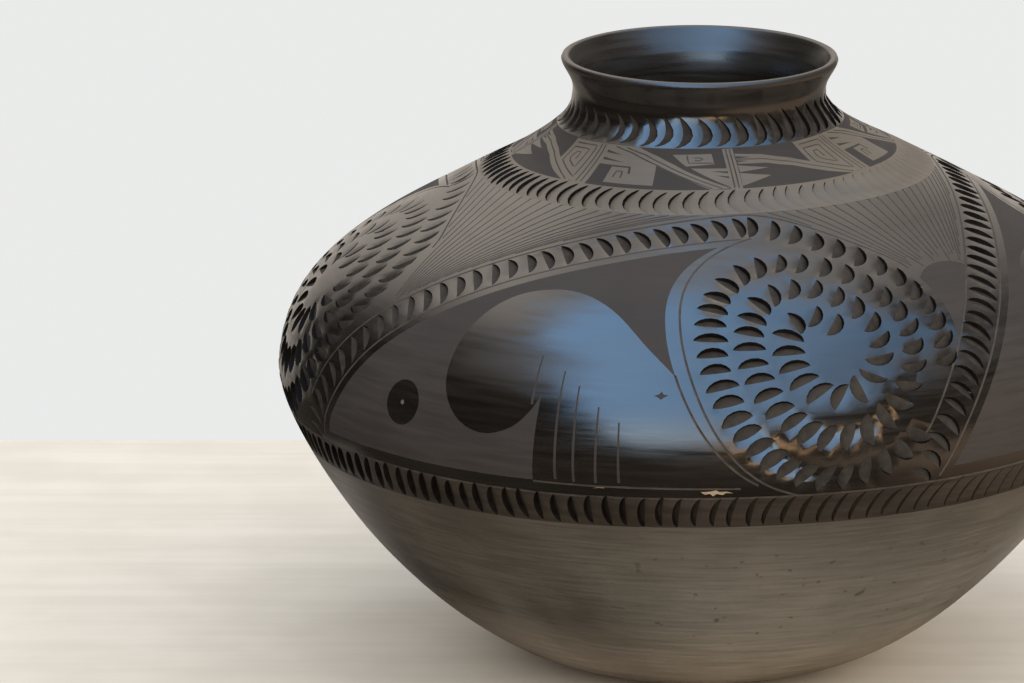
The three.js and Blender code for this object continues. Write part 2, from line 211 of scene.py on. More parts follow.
@dataclass
class Wall:
    """The wall of the jar: its outer profile, lip, thickness and hand-made lean."""

    base_radius: float = 48.0
    base_rise: float = 4.0
    base_handle: float = 52.0
    belly: Spot = (163.0, 114.0)
    belly_handles: Spot = (23.0, 39.0)
    shoulder: Spot = (98.0, 183.0)
    shoulder_slope: float = 28.0
    shoulder_handles: Spot = (36.0, 30.0)
    neck: Spot = (47.7, 218.6)
    neck_handle: float = 13.0
    lip: Spot = (52.0, 229.3)
    lip_handle: float = 4.6
    lip_flare: float = 24.0
    lip_thickness: float = 3.4
    lip_samples: int = 60
    thickness: tuple[Spot, ...] = (
        (0, 8.0), (40, 5.2), (150, 5.2), (296, 5.2), (310, 8.6), (319, 11.2), (324, 9.7), (327, 6.9),
        (330, 5.0), (333.5, 3.9), (339, 3.6), (345.5, 3.4))
    thickness_steps: int = 12
    lean: tuple[Spot, ...] = (
        (0, 0), (55, 0), (115, 2.7), (160, 5.2), (195, 5.0), (206, 1.6), (216, -0.8), (236, -0.8))
    spread: float = 3.5
    front: float = 14.0
    tilt: tuple[Spot, ...] = (
        (0, 0), (140, 3.6), (165, 3.0), (200, 1.6), (270, 2.4), (298, 4.0), (320, 2.0), (334, 1.6), (345, 0))
    lip_tilt: float = 1.5
    lip_level: float = 0.3
    middle_radius: float = 0.02
    samples: int = 500
    table: dict[str, np.ndarray] = field(init=False)
    depths: np.ndarray = field(init=False)
    length: float = field(init=False)
    lip_end: float = field(init=False)

    def __post_init__(self) -> None:
        """Samples the profile from the middle of the resting face to the inner edge of the lip."""
        rise, slope = math.radians(self.base_rise), math.radians(self.shoulder_slope)
        down = np.array((math.cos(slope), -math.sin(slope)))
        base, belly = np.array((self.base_radius, 0.0)), np.array(self.belly)
        shoulder, neck, lip = np.array(self.shoulder), np.array(self.neck), np.array(self.lip)
        flare = math.radians(self.lip_flare)
        up, rise_out = np.array((0.0, 1.0)), np.array((math.sin(flare), math.cos(flare)))
        curves = [
            (base, base + self.base_handle * np.array((math.cos(rise), math.sin(rise))),
             belly - self.belly_handles[0] * up, belly),
            (belly, belly + self.belly_handles[1] * up, shoulder + self.shoulder_handles[0] * down, shoulder),
            (shoulder, shoulder - self.shoulder_handles[1] * down, neck - self.neck_handle * up, neck),
            (neck, neck + self.lip_handle * up, lip - self.lip_handle * rise_out, lip),
        ]
        points = [np.array([[self.middle_radius, 0.0]]), bezier(curves[0], self.samples)]
        points += [bezier(curve, self.samples)[1:] for curve in curves[1:]]
        outer = np.concatenate(points)
        half = self.lip_thickness / 2
        arc = np.linspace(0, math.pi, self.lip_samples)[1:, None]
        outward = np.array((math.cos(flare), -math.sin(flare)))
        roll = lip + half * ((np.cos(arc) - 1) * outward + np.sin(arc) * rise_out)
        path = np.concatenate((outer, roll))
        steps = np.hypot(*np.diff(path, axis=0).T)
        s = np.concatenate(([0.0], np.cumsum(steps))) + path[0, 0] - self.base_radius
        grad = np.gradient(path, s, axis=0)
        grad /= np.hypot(grad[:, 0], grad[:, 1])[:, None]
        mid = (path[1:, 0] + path[:-1, 0]) / 2
        stretch = np.concatenate(([0.0], np.cumsum(steps / mid)))
        at_base = np.interp(0.0, s, stretch)
        self.table = {"s": s, "r": path[:, 0], "z": path[:, 1], "dr": grad[:, 0], "dz": grad[:, 1],
                      "log": stretch - at_base + math.log(self.base_radius)}
        self.depths = rounded(self.thickness, self.thickness_steps)
        self.length = float(s[len(outer) - 1])
        self.lip_end = float(s[-1])

    def at(self, name: str, s: np.ndarray | float) -> np.ndarray:
        """Returns a column of the sampled profile at distances along the wall."""
        return np.interp(s, self.table["s"], self.table[name])

    def flat(self, az: np.ndarray, s: np.ndarray) -> np.ndarray:
        """Maps the wall to a plane without changing angles.

        Args:
            az: azimuths in radians.
            s: distances along the wall.

        Returns:
            Rows of two plane coordinates.
        """
        reach = np.exp(self.at("log", s))
        return np.stack((reach * np.sin(az), -reach * np.cos(az)), axis=1)

    def unflat(self, points: np.ndarray) -> tuple[np.ndarray, np.ndarray]:
        """Brings plane coordinates back to azimuths and distances along the wall."""
        log = np.log(np.hypot(points[:, 0], points[:, 1]))
        return np.arctan2(points[:, 0], -points[:, 1]), np.interp(log, self.table["log"], self.table["s"])

    def even(self, az: np.ndarray, s: np.ndarray) -> np.ndarray:
        """Returns points of the even wall in space, before lean, tilt and the shifts of the hand."""
        r = self.at("r", s)
        return np.stack((r * np.sin(az), -r * np.cos(az), self.at("z", s)), axis=1)

    def by_hand(self, az: np.ndarray, s: np.ndarray) -> tuple[np.ndarray, np.ndarray]:
        """Shifts the even layout to the potter's slightly uneven one.

        Args:
            az: azimuths in radians.
            s: distances along the wall.

        Returns:
            The shifted azimuths and distances.
        """
        turned = az + math.radians(self.spread) * np.sin(az - math.radians(self.front))
        tilt = np.interp(s, *np.array(self.tilt).T)
        return turned, s + tilt * np.sin(turned)

    def place(self, az: np.ndarray, r: np.ndarray, z: np.ndarray) -> np.ndarray:
        """Puts profile points in space, with the lean of the shoulder and the tilt of the lip.

        Args:
            az: azimuths in radians.
            r: radii.
            z: heights.

        Returns:
            Rows of three coordinates in millimetres.
        """
        lean = np.interp(z, *np.array(self.lean).T)
        near_lip = np.clip((z - self.shoulder[1]) / (self.lip[1] - self.shoulder[1]), 0, 1) ** 2
        lift = self.lip_tilt * near_lip * (self.lip_level - np.cos(az))
        return np.stack((r * np.sin(az) + lean, -r * np.cos(az), z + lift), axis=1)

    def outside(self, az: np.ndarray, s: np.ndarray, depth: np.ndarray) -> np.ndarray:
        """Puts points of the outer face in space.

        Args:
            az: azimuths in radians.
            s: distances along the wall.
            depth: how far each point is sunk below the face.

        Returns:
            Rows of three coordinates in millimetres.
        """
        az, s = self.by_hand(az, s)
        r = self.at("r", s) - depth * self.at("dz", s)
        z = self.at("z", s) + depth * self.at("dr", s)
        return self.place(az, r, z)

    def normals(self, az: np.ndarray, s: np.ndarray) -> np.ndarray:
        """Works out the normals of the plain outer face.

        Args:
            az: azimuths in radians.
            s: distances along the wall.

        Returns:
            Outward unit normals.
        """
        az, s = self.by_hand(az, s)
        z, dz, dr = self.at("z", s), self.at("dz", s), self.at("dr", s)
        knots = np.array(self.lean)
        shear = np.interp(z + 1, *knots.T) - np.interp(z - 1, *knots.T)
        along = np.stack((dr * np.sin(az) + shear / 2 * dz, -dr * np.cos(az), dz), axis=1)
        across = np.stack((np.cos(az), np.sin(az), np.zeros_like(az)), axis=1)
        normal = np.cross(across, along)
        return normal / np.linalg.norm(normal, axis=1)[:, None]

    def behind(self, az: np.ndarray, s: float) -> np.ndarray:
        """Returns a ring of points on the inner face, straight behind the outer face."""
        return self.outside(az, np.full(len(az), s), np.full(len(az), np.interp(s, *self.depths.T)))


@dataclass
class Gouge:
    """One cut of a curved gouge: steep at its rounded front and running out behind."""

    az: float
    s: float
    heading: float
    length: float
    width: float
    depth: float
    ramp: float
    bow: float = 0.0
    wall_run: float = 0.45
    heel: float = 0.48
    blunt: float = 0.6
    wall_share: float = 0.6
    least_run: float = 1e-6

    def frame(self, wall: Wall, az: np.ndarray, s: np.ndarray) -> tuple[np.ndarray, np.ndarray]:
        """Measures points on the wall from the middle of the cut.

        Args:
            wall: wall of the jar.
            az: azimuths in radians.
            s: distances along the wall.

        Returns:
            Their forward and sideways distances.
        """
        dy = s - self.s
        dx = wrap(az - self.az) * wall.at("r", self.s + dy / 2)
        cos, sin = math.cos(self.heading), math.sin(self.heading)
        return dx * cos + dy * sin, dy * cos - dx * sin

    def spots(self, wall: Wall, x: np.ndarray, y: np.ndarray) -> tuple[np.ndarray, np.ndarray]:
        """Puts points given from the middle of the cut on the wall.

        Args:
            wall: wall of the jar.
            x: forward distances.
            y: sideways distances.

        Returns:
            Azimuths and wall distances.
        """
        cos, sin = math.cos(self.heading), math.sin(self.heading)
        dx, dy = x * cos - y * sin, x * sin + y * cos
        return self.az + dx / wall.at("r", self.s + dy / 2), self.s + dy

    def shape(self, y: np.ndarray) -> tuple[np.ndarray, np.ndarray, np.ndarray]:
        """Gives the plan of the cut.

        Args:
            y: sideways distances from the middle.

        Returns:
            The back edge, front edge and relative depth there.
        """
        fill = np.clip(1 - (2 * y / self.length) ** 2, 0, 1)
        back = self.bow * (fill - 0.5) - self.width / 2
        return back, back + self.width * fill**self.blunt, fill**0.5

    def run(self, back: np.ndarray, front: np.ndarray) -> np.ndarray:
        """Returns how far the steep wall at the front reaches back."""
        return np.minimum(self.wall_run, (front - back) * self.wall_share)

    def sink(self, wall: Wall, az: np.ndarray, s: np.ndarray) -> np.ndarray:
        """Works out how deep the cut is.

        Args:
            wall: wall of the jar.
            az: azimuths in radians.
            s: distances along the wall.

        Returns:
            The depth below the wall at each point.
        """
        x, y = self.frame(wall, az, s)
        back, front, share = self.shape(y)
        run = np.maximum(self.run(back, front), self.least_run)
        along = np.clip((x - back) / np.maximum(front - run - back, self.least_run), 0, 1)
        floor = self.depth * share * (self.heel + (1 - self.heel) * along)
        steep = np.clip((front - x) / run, 0, 1)
        rise = np.clip((x - back + self.ramp) / self.ramp, 0, 1)
        behind = self.heel * self.depth * share * rise**2
        return np.where(x >= back, floor * steep, behind)


class Relief:
    """The carved outer face: collects cuts, lines and paint edges, and turns them into one fine mesh."""

    FRONT_POINTS = 9
    BACK_POINTS = 5
    FLOOR_SPOTS = (-0.45, 0.0, 0.45)
    CLEAR = 1.5
    ROW_STEP = 0.87
    LEAST_ROW = 8
    RING_POINTS = 240
    FINE_STEPS = 3
    GROOVE_REACH = 0.95
    MERGE = 1e-4
    RANK = {Ground.GROOVE: 1, Ground.CUT_WALL: 2, Ground.CUT_FLOOR: 3}

    def __init__(self, wall: Wall) -> None:
        """Starts with the plain wall.

        Args:
            wall: wall of the jar.
        """
        self.wall = wall
        self.az: list[np.ndarray] = []
        self.s: list[np.ndarray] = []
        self.count = 0
        self.edges: list[tuple[int, int]] = []
        self.faces: list[list[int]] = []
        self.grounds: list[Ground] = []
        self.gouges: list[Gouge] = []
        self.groove_spots: list[tuple[np.ndarray, np.ndarray, float, float]] = []
        self.paints: list[tuple[Test, Finish]] = []

    def add_points(self, az: np.ndarray, s: np.ndarray) -> list[int]:
        """Adds points to the mesh.

        Args:
            az: azimuths in radians.
            s: distances along the wall.

        Returns:
            The numbers of the new points.
        """
        self.az.append(np.asarray(az, dtype=float))
        self.s.append(np.asarray(s, dtype=float))
        first = self.count
        self.count += len(self.az[-1])
        return list(range(first, self.count))

    def evenly(self, az: np.ndarray, s: np.ndarray, step: float) -> tuple[np.ndarray, np.ndarray]:
        """Resamples a line on the wall at even steps.

        Args:
            az: azimuths of the corners, in radians.
            s: wall distances of the corners.
            step: wanted step in millimetres.

        Returns:
            Azimuths and wall distances of the new points.
        """
        mid = self.wall.at("r", (s[1:] + s[:-1]) / 2)
        along = np.concatenate(([0.0], np.cumsum(np.hypot(np.diff(az) * mid, np.diff(s)))))
        count = max(2, int(round(along[-1] / step)) + 1)
        t = np.linspace(0, along[-1], count)
        return np.interp(t, along, az), np.interp(t, along, s)

    def add_edge(self, az: np.ndarray, s: np.ndarray, step: float = EDGE_STEP) -> None:
        """Adds a line that mesh edges follow.

        Args:
            az: azimuths of the corners, in degrees.
            s: wall distances of the corners.
            step: wanted step in millimetres.
        """
        az, s = self.evenly(np.radians(az), np.asarray(s, dtype=float), step)
        points = self.add_points(az, s)
        self.edges += list(zip(points[:-1], points[1:]))

    def add_zone(self, low: float, high: float, finish: Finish) -> None:
        """Paints the whole ring of wall between two distances."""
        self.paints.append((lambda az, s: (s > low) & (s < high), finish))

    def add_patch(self, polygon: Iterable[Spot], finish: Finish, step: float = EDGE_STEP) -> None:
        """Adds a painted polygon.

        Args:
            polygon: corners in degrees and millimetres.
            finish: finish of the patch.
            step: wanted step along its edges.
        """
        corners = np.array(list(polygon), dtype=float)
        ring = np.vstack((corners, corners[:1]))
        for start, end in zip(ring[:-1], ring[1:]):
            self.add_edge(np.array((start[0], end[0])), np.array((start[1], end[1])), step)
        middle = corners[:, 0].mean()

        def test(az: np.ndarray, s: np.ndarray) -> np.ndarray:
            """Returns which points lie on the patch."""
            near = middle + np.degrees(wrap(az - math.radians(middle)))
            return inside(corners, np.stack((near, s), axis=1))

        self.paints.append((test, finish))

    def add_groove(self, az: np.ndarray, s: np.ndarray, width: float, depth: float,
                   step: float = EDGE_STEP) -> None:
        """Adds an incised line.

        Args:
            az: azimuths of the corners, in degrees.
            s: wall distances of the corners.
            width: width of the line.
            depth: depth of the line.
            step: wanted step along it.
        """
        az, s = self.evenly(np.radians(az), np.asarray(s, dtype=float), step)
        r = self.wall.at("r", s)
        dx, dy = np.gradient(az) * r, np.gradient(s)
        size = np.maximum(np.hypot(dx, dy), TINY)
        ox, oy = -dy / size * width / 2 / r, dx / size * width / 2
        middle = self.add_points(az, s)
        left = self.add_points(az + ox, s + oy)
        right = self.add_points(az - ox, s - oy)
        self.edges += list(zip(middle[:-1], middle[1:]))
        for i in range(len(middle) - 1):
            self.faces.append([right[i], right[i + 1], left[i + 1], left[i]])
            self.grounds.append(Ground.GROOVE)
        fine = self.evenly(az, s, width / self.FINE_STEPS)
        self.groove_spots.append((*fine, width / 2, depth))

    def add_gouge(self, gouge: Gouge) -> None:
        """Adds the outline, floor and run-out of one cut.

        Args:
            gouge: the cut.
        """
        half = gouge.length / 2
        y = half * np.sin(np.linspace(-math.pi / 2, math.pi / 2, self.FRONT_POINTS))
        back, front, _ = gouge.shape(y)
        run = gouge.run(back, front)
        edge = self.add_points(*gouge.spots(self.wall, front, y))
        foot = self.add_points(*gouge.spots(self.wall, (front - run)[1:-1], y[1:-1]))
        y_back = np.linspace(half, -half, self.BACK_POINTS + 2)[1:-1]
        heel = self.add_points(*gouge.spots(self.wall, gouge.shape(y_back)[0], y_back))
        self.faces.append(edge + heel)
        self.grounds.append(Ground.CUT_WALL)
        self.faces.append([edge[0]] + foot + [edge[-1]] + heel)
        self.grounds.append(Ground.CUT_FLOOR)
        y_in = half * np.array(self.FLOOR_SPOTS)
        back, front, _ = gouge.shape(y_in)
        for x in ((back + front) / 2, back - gouge.ramp / 2, back - gouge.ramp):
            self.add_points(*gouge.spots(self.wall, x, y_in))
        self.gouges.append(gouge)

    def add_ground(self, rows: Iterable[tuple[float, float, float]]) -> None:
        """Fills the wall between the cuts with evenly spread points.

        Args:
            rows: stretches of wall as start, end and spacing.
        """
        tree = search_tree(self.wall.even(np.concatenate(self.az), np.concatenate(self.s)))
        for start, end, gap in rows:
            for k, s in enumerate(np.arange(start, end, gap * self.ROW_STEP)):
                count = max(self.LEAST_ROW, round(TURN * float(self.wall.at("r", s)) / gap))
                az = (np.arange(count) + 0.5 * (k % 2)) * TURN / count
                ring = self.wall.even(az, np.full(count, s))
                free = [i for i, p in enumerate(ring) if tree.find(p)[2] > self.CLEAR]
                self.add_points(wrap(az[free]), np.full(len(free), s))

    def add_ring(self, s: float) -> None:
        """Adds a closed ring of edges round the jar.

        Args:
            s: distance along the wall.
        """
        az = wrap(np.arange(self.RING_POINTS) * TURN / self.RING_POINTS)
        points = self.add_points(az, np.full(self.RING_POINTS, s))
        self.edges += list(zip(points, points[1:] + points[:1]))

    def sink(self, az: np.ndarray, s: np.ndarray) -> np.ndarray:
        """Works out how deep the carving is.

        Args:
            az: azimuths in radians.
            s: distances along the wall.

        Returns:
            The depth below the wall at each point.
        """
        tree = search_tree(self.wall.even(az, s))
        depth = np.zeros(len(az))
        for gouge in self.gouges:
            middle = self.wall.even(np.array((gouge.az,)), np.array((gouge.s,)))[0]
            reach = gouge.length / 2 + gouge.ramp + gouge.width
            near = np.array([found[1] for found in tree.find_range(middle, reach)], dtype=int)
            if len(near):
                depth[near] = np.maximum(depth[near], gouge.sink(self.wall, az[near], s[near]))
        for groove_az, groove_s, half, deep in self.groove_spots:
            for point in self.wall.even(groove_az, groove_s):
                for _, i, gap in tree.find_range(point, half * self.GROOVE_REACH):
                    depth[i] = max(depth[i], deep * (1 - gap / half))
        return depth

    def mesh(self) -> "Skin":
        """Joins all points, edges and outlines into one triangle mesh.

        Returns:
            The carved skin of the jar.
        """
        flat = self.wall.flat(np.concatenate(self.az), np.concatenate(self.s))
        faces = []
        for face in self.faces:
            x, y = flat[face].T
            area = np.dot(x, np.roll(y, -1)) - np.dot(y, np.roll(x, -1))
            faces.append(face if area > 0 else face[::-1])
        verts = [Vector(p) for p in flat.tolist()]
        out, _, tris, _, _, origin = delaunay_2d_cdt(verts, self.edges, faces, 0, self.MERGE)
        az, s = self.wall.unflat(np.array([tuple(p) for p in out]))
        grounds = np.array([
            max((self.grounds[i] for i in o), key=self.RANK.get, default=Ground.SKIN) for o in origin
        ])
        return Skin(self.wall, az, s, self.sink(az, s), np.array(tris)[:, ::-1], grounds, self.paints)


class Skin:
    """The finished outer face: vertices, triangles, finishes and shading normals."""

    WOBBLE = 0.16
    WOBBLE_RISE = 60.0
    WOBBLE_END = 345.0
    WOBBLE_FALL = 30.0
    WAVES = ((3, 31, 0.0), (5, -23, 1.3), (7, 47, 4.1))

    def __init__(self, wall: Wall, az: np.ndarray, s: np.ndarray, depth: np.ndarray, tris: np.ndarray,
                 grounds: np.ndarray, paints: list[tuple[Test, Finish]]) -> None:
        """Places the vertices and works out the finish and shading of every triangle.

        Args:
            wall: wall of the jar.
            az: azimuths of the vertices, in radians.
            s: wall distances of the vertices.
            depth: depth of the carving at the vertices.
            tris: rows of three vertex numbers.
            grounds: smoothing group of each triangle.
            paints: tests of place with the finish they lay, the last on top.
        """
        self.wall, self.az, self.s, self.tris, self.grounds = wall, az, s, tris, grounds
        waves = sum(np.sin(times * az + s / run + shift) for times, run, shift in self.WAVES)
        fall = np.clip((self.WOBBLE_END - s) / self.WOBBLE_FALL, 0, 1)
        wobble = self.WOBBLE * np.clip(s / self.WOBBLE_RISE, 0, 1) * fall * waves
        self.points = wall.outside(az, s, depth + wobble)
        plain = wall.outside(az, s, np.zeros_like(depth))
        self.middle_s = s[tris].mean(axis=1)
        out = shade(tris, self.points, grounds)
        even = shade(tris, plain, np.zeros_like(grounds))
        true = wall.normals(az, s)[tris]
        skin = (grounds == Ground.SKIN)[:, None, None]
        mixed = np.where(skin, true + out - even, out)
        self.normals = mixed / np.maximum(np.linalg.norm(mixed, axis=2), TINY)[:, :, None]
        self.finishes = self.paint(paints)

    def paint(self, paints: list[tuple[Test, Finish]]) -> np.ndarray:
        """Chooses the finish of every triangle from its cut or from the paint under its middle.

        Args:
            paints: tests of place with the finish they lay, the last on top.

        Returns:
            One finish per triangle.
        """
        middle = self.wall.flat(self.az, self.s)[self.tris].mean(axis=1)
        az, s = self.wall.unflat(middle)
        finish = np.full(len(self.tris), Finish.BURNISHED)
        for test, value in paints:
            finish[test(az, s)] = value
        finish[self.grounds == Ground.GROOVE] = Finish.LINE
        # Steep cut walls take the near-black painted shadow.
        finish[self.grounds == Ground.CUT_WALL] = Finish.EDGE
        floors = self.grounds == Ground.CUT_FLOOR
        # Belly-band cut floors take the darker painted shade.
        finish[floors & (finish == Finish.BELT)] = Finish.SLIT
        # Cut floors in the painted-sheen zones keep the painted sheen; other floors take the cut clay.
        finish[floors & ~np.isin(finish, (Finish.SLIT, Finish.SATIN))] = Finish.CUT
        return finish


@dataclass(frozen=True)
class Hand:
    """Small differences of the hand from cut to cut, each as the least and the most."""

    az: Spot
    s: Spot
    heading: Spot
    length: Spot
    width: Spot
    depth: Spot


@dataclass(frozen=True)
class Band:
    """A row of equal gouge cuts round the jar."""

    count: int
    s: float
    heading: float
    length: float
    width: float
    depth: float
    ramp: float
    bow: float
    heel: float = 0.48
    wall_run: float = 0.45
    blunt: float = 0.6
    sway: Spot = (0.0, 0.0)
    hand: Hand = Hand((-0.07, 0.07), (-0.35, 0.35), (-4, 4), (0.94, 1.05), (0.9, 1.08), (0.88, 1.1))

    def carve(self, relief: Relief, dice: random.Random) -> None:
        """Cuts the row.

        Args:
            relief: surface to cut.
            dice: source of the hand's small differences.
        """
        degrees, most = self.sway
        hand = self.hand
        for i in range(self.count):
            az = float(wrap(TURN * (i + dice.uniform(*hand.az)) / self.count))
            lean = degrees * math.cos(UNITS * (az - math.radians(most)))
            relief.add_gouge(Gouge(
                az=az,
                s=self.s + dice.uniform(*hand.s),
                heading=math.radians(self.heading + lean + dice.uniform(*hand.heading)),
                length=self.length * dice.uniform(*hand.length),
                width=self.width * dice.uniform(*hand.width),
                depth=self.depth * dice.uniform(*hand.depth),
                ramp=self.ramp,
                bow=self.bow,
                heel=self.heel,
                wall_run=self.wall_run,
                blunt=self.blunt,
            ))


@dataclass
class Whorl:
    """One of the four units: an arch of cuts that rises from the belly and winds up as a spiral.

    Spots of the layout are degrees and millimetres. A cut is given by its length, width and depth, and the
    pitch of the spiral by its mean, its change and the heading in degrees at which it is widest. Sizes
    that start with low belong to the broader cuts in the lower half of the spiral.
    """

    turn: float
    wall: Wall
    centre: Spot = (14.0, 214.5)
    arch: tuple[Spot, ...] = ((-62.5, 158.0), (-51.9, 225.6), (-31.6, 273.2), (4.5, 276.2))
    crest: tuple[Spot, Spot] = ((11.0, 276.6), (21.5, 264.0))
    radius: float = 56.6
    step: float = 14.7
    squeeze: float = 0.86
    flat_side: tuple[float, float] = (0.12, 0.11)
    wound_from: float = 0.13
    crest_gap: float = 0.005
    border_gap: float = 0.01
    turns: float = 3.25
    next_turn: float = 90.0
    pitch: Triple = (7.3, 0.8, 60.0)
    arch_pitch: float = 6.6
    arch_start: float = 5.0
    crest_start: float = 4.0
    arch_lean: tuple[Spot, ...] = ((0.0, -12.0), (0.5, -8.0), (0.8, 14.0), (1.0, 18.0))
    spiral_lean: Spot = (20.0, 22.0)
    lean_change: Spot = (10.0, 40.0)
    cut: Triple = (11.2, 3.8, 1.7)
    arch_cut: Triple = (11.8, 3.5, 1.5)
    first_cut: Spot = (0.75, 90.0)
    ramp: float = 3.1
    heel: float = 0.26
    low_start: float = 12.0
    low_run: float = 25.0
    low_width: float = 0.4
    low_depth: float = 0.3
    low_bow: float = -1.3
    low_heel: float = 0.3
    hand: Hand = Hand((-0.1, 0.1), (-0.3, 0.3), (-5, 5), (0.93, 1.06), (0.9, 1.1), (0.88, 1.12))
    clear: float = 1.5
    line_offset: float = 6.7
    line_skip: int = 8
    lower_line: Spot = (4.5, 160.0)
    ring: Spot = (48.8, 57.5)
    ring_span: Spot = (106.0, 256.0)
    outer_ring: Spot = (53.8, 57.9)
    outer_span: Spot = (100.0, 242.0)
    outer_top: float = 204.0
    arc_points: int = 90
    panel_offset: float = 10.1
    panel_foot: float = 163.5
    border_end: float = 0.155
    fan_focus: Spot = (39.4, 226.0)
    fan_foot: Triple = (11.0, 92.0, 283.4)
    fan_count: int = 25
    fan_start: float = 12.0
    fan_steps: Spot = (3.0, 3.5)
    fan_hand: Spot = (-0.8, 0.8)
    fan_sides: Spot = (-0.4, 0.5)
    fan_end: float = 0.42
    fan_line: Spot = (0.6, 0.3)
    ray_points: int = 80
    least_ray: int = 6
    least_wedge: float = 8.0
    wedge_gap: Spot = (1.0, 0.1)
    wedge_points: int = 14

    def arch_path(self, offset: float = 0.0, count: int = 120) -> np.ndarray:
        """Returns the arch, moved sideways by an offset, as rows of degrees and millimetres."""
        return self.moved(bezier(self.arch, count), offset)

    def spiral_path(self, start: float, end: float, offset: float = 0.0, count: int = 400) -> np.ndarray:
        """Draws a stretch of the spiral.

        Args:
            start: number of turns at its start.
            end: number of turns at its end.
            offset: how far it is moved outwards.
            count: number of points.

        Returns:
            Rows of degrees and millimetres.
        """
        t = np.linspace(start, end, count)
        share, middle = self.flat_side
        flat = share * np.clip(np.cos(TURN * (t - middle)), 0, 1) ** 3
        rho = (self.radius - self.step * t) * (1 - flat) + offset
        return self.local(self.squeeze * rho * np.sin(TURN * t), rho * np.cos(TURN * t))

    def crest_path(self, offset: float = 0.0, count: int = 40) -> np.ndarray:
        """Returns the stretch that leads from the arch over into the spiral, moved sideways by an offset."""
        start = self.spiral_path(self.wound_from, self.wound_from, 0.0, 1)[0]
        return self.moved(bezier((self.arch[-1], *self.crest, start), count), offset)

    def border(self, offset: float, end: float) -> np.ndarray:
        """Returns the outer border of the crest and of the spiral as far as a number of turns."""
        spiral = self.spiral_path(self.wound_from + self.border_gap, end, offset, count=60)
        return np.concatenate((self.crest_path(offset), spiral))

    def local(self, x: np.ndarray, y: np.ndarray) -> np.ndarray:
        """Returns degrees and millimetres of points given from the centre of the whorl."""
        s = self.centre[1] + y
        return np.stack((self.centre[0] + np.degrees(x / self.wall.at("r", s)), s), axis=1)

    def from_centre(self, az: np.ndarray, s: np.ndarray) -> tuple[np.ndarray, np.ndarray]:
        """Returns distances right of and above the centre of the whorl."""
        return wrap(az - math.radians(self.turn + self.centre[0])) * self.wall.at("r", s), s - self.centre[1]

    def steps(self, path: np.ndarray) -> tuple[np.ndarray, np.ndarray, np.ndarray]:
        """Returns the millimetres of a degree along a path, and its steps sideways and upwards."""
        scale = np.radians(1.0) * self.wall.at("r", path[:, 1])
        return scale, np.gradient(path[:, 0]) * scale, np.gradient(path[:, 1])

    def moved(self, path: np.ndarray, offset: float) -> np.ndarray:
        """Moves a path to its left.

        Args:
            path: rows of degrees and millimetres.
            offset: distance in millimetres.

        Returns:
            The moved rows.
        """
        scale, dx, dy = self.steps(path)
        size = np.hypot(dx, dy)
        return path + np.stack((-dy / size * offset / scale, dx / size * offset), axis=1)

    def line(self, relief: Relief, path: np.ndarray, width: float = 0.8, depth: float = 0.38) -> None:
        """Incises a path of this unit."""
        relief.add_groove(path[:, 0] + self.turn, path[:, 1], width, depth)

    def edge(self, relief: Relief, path: np.ndarray) -> None:
        """Adds a paint edge of this unit."""
        relief.add_edge(path[:, 0] + self.turn, path[:, 1])

    def carve(self, relief: Relief, dice: random.Random) -> None:
        """Cuts the arch, the crest and the spiral.

        Args:
            relief: surface to cut.
            dice: source of the hand's small differences.
        """
        arch, spiral = self.arch_path(), self.spiral_path(self.wound_from + self.crest_gap, self.turns)
        path = np.concatenate((arch, self.crest_path()[1:], spiral))
        _, dx, dy = self.steps(path)
        along = np.concatenate(([0.0], np.cumsum(np.hypot(dx, dy)[1:])))
        bearing = np.unwrap(np.arctan2(dy, dx))
        arch_end = along[len(arch) - 1]
        next_arch = self.arch_path(count=60) + np.array((self.next_turn, 0.0))
        before, over = self.lean_change
        swing, slant = (math.radians(degrees) for degrees in self.spiral_lean)
        for at in self.places(along, bearing, arch_end):
            az, s, way = (float(np.interp(at, along, v)) for v in (path[:, 0], path[:, 1], bearing))
            across = np.radians(next_arch[:, 0] - az) * self.wall.at("r", s)
            if np.hypot(across, next_arch[:, 1] - s).min() < self.line_offset + self.clear:
                continue
            wound = min(max((at - arch_end + before) / over, 0.0), 1.0)
            lean = math.radians(eased(at / arch_end, self.arch_lean)) * (1 - wound) + wound * (
                -swing * math.cos(2 * way) - slant * math.sin(way))
            relief.add_gouge(self.cut_at(az, s, way + lean, at, at - arch_end, dice))

    def places(self, along: np.ndarray, bearing: np.ndarray, arch_end: float) -> list[float]:
        """Spaces the cuts along the path, wider where the spiral runs one way.

        Args:
            along: distances along the path.
            bearing: headings of the path there.
            arch_end: distance at which the arch ends.

        Returns:
            The distances of the cuts.
        """
        places = list(np.arange(self.arch_start, arch_end, self.arch_pitch))
        at = arch_end + self.crest_start
        mean, change, widest = self.pitch
        while at < along[-1]:
            places.append(at)
            at += mean + change * math.cos(-float(np.interp(at, along, bearing)) - math.radians(widest))
        return places

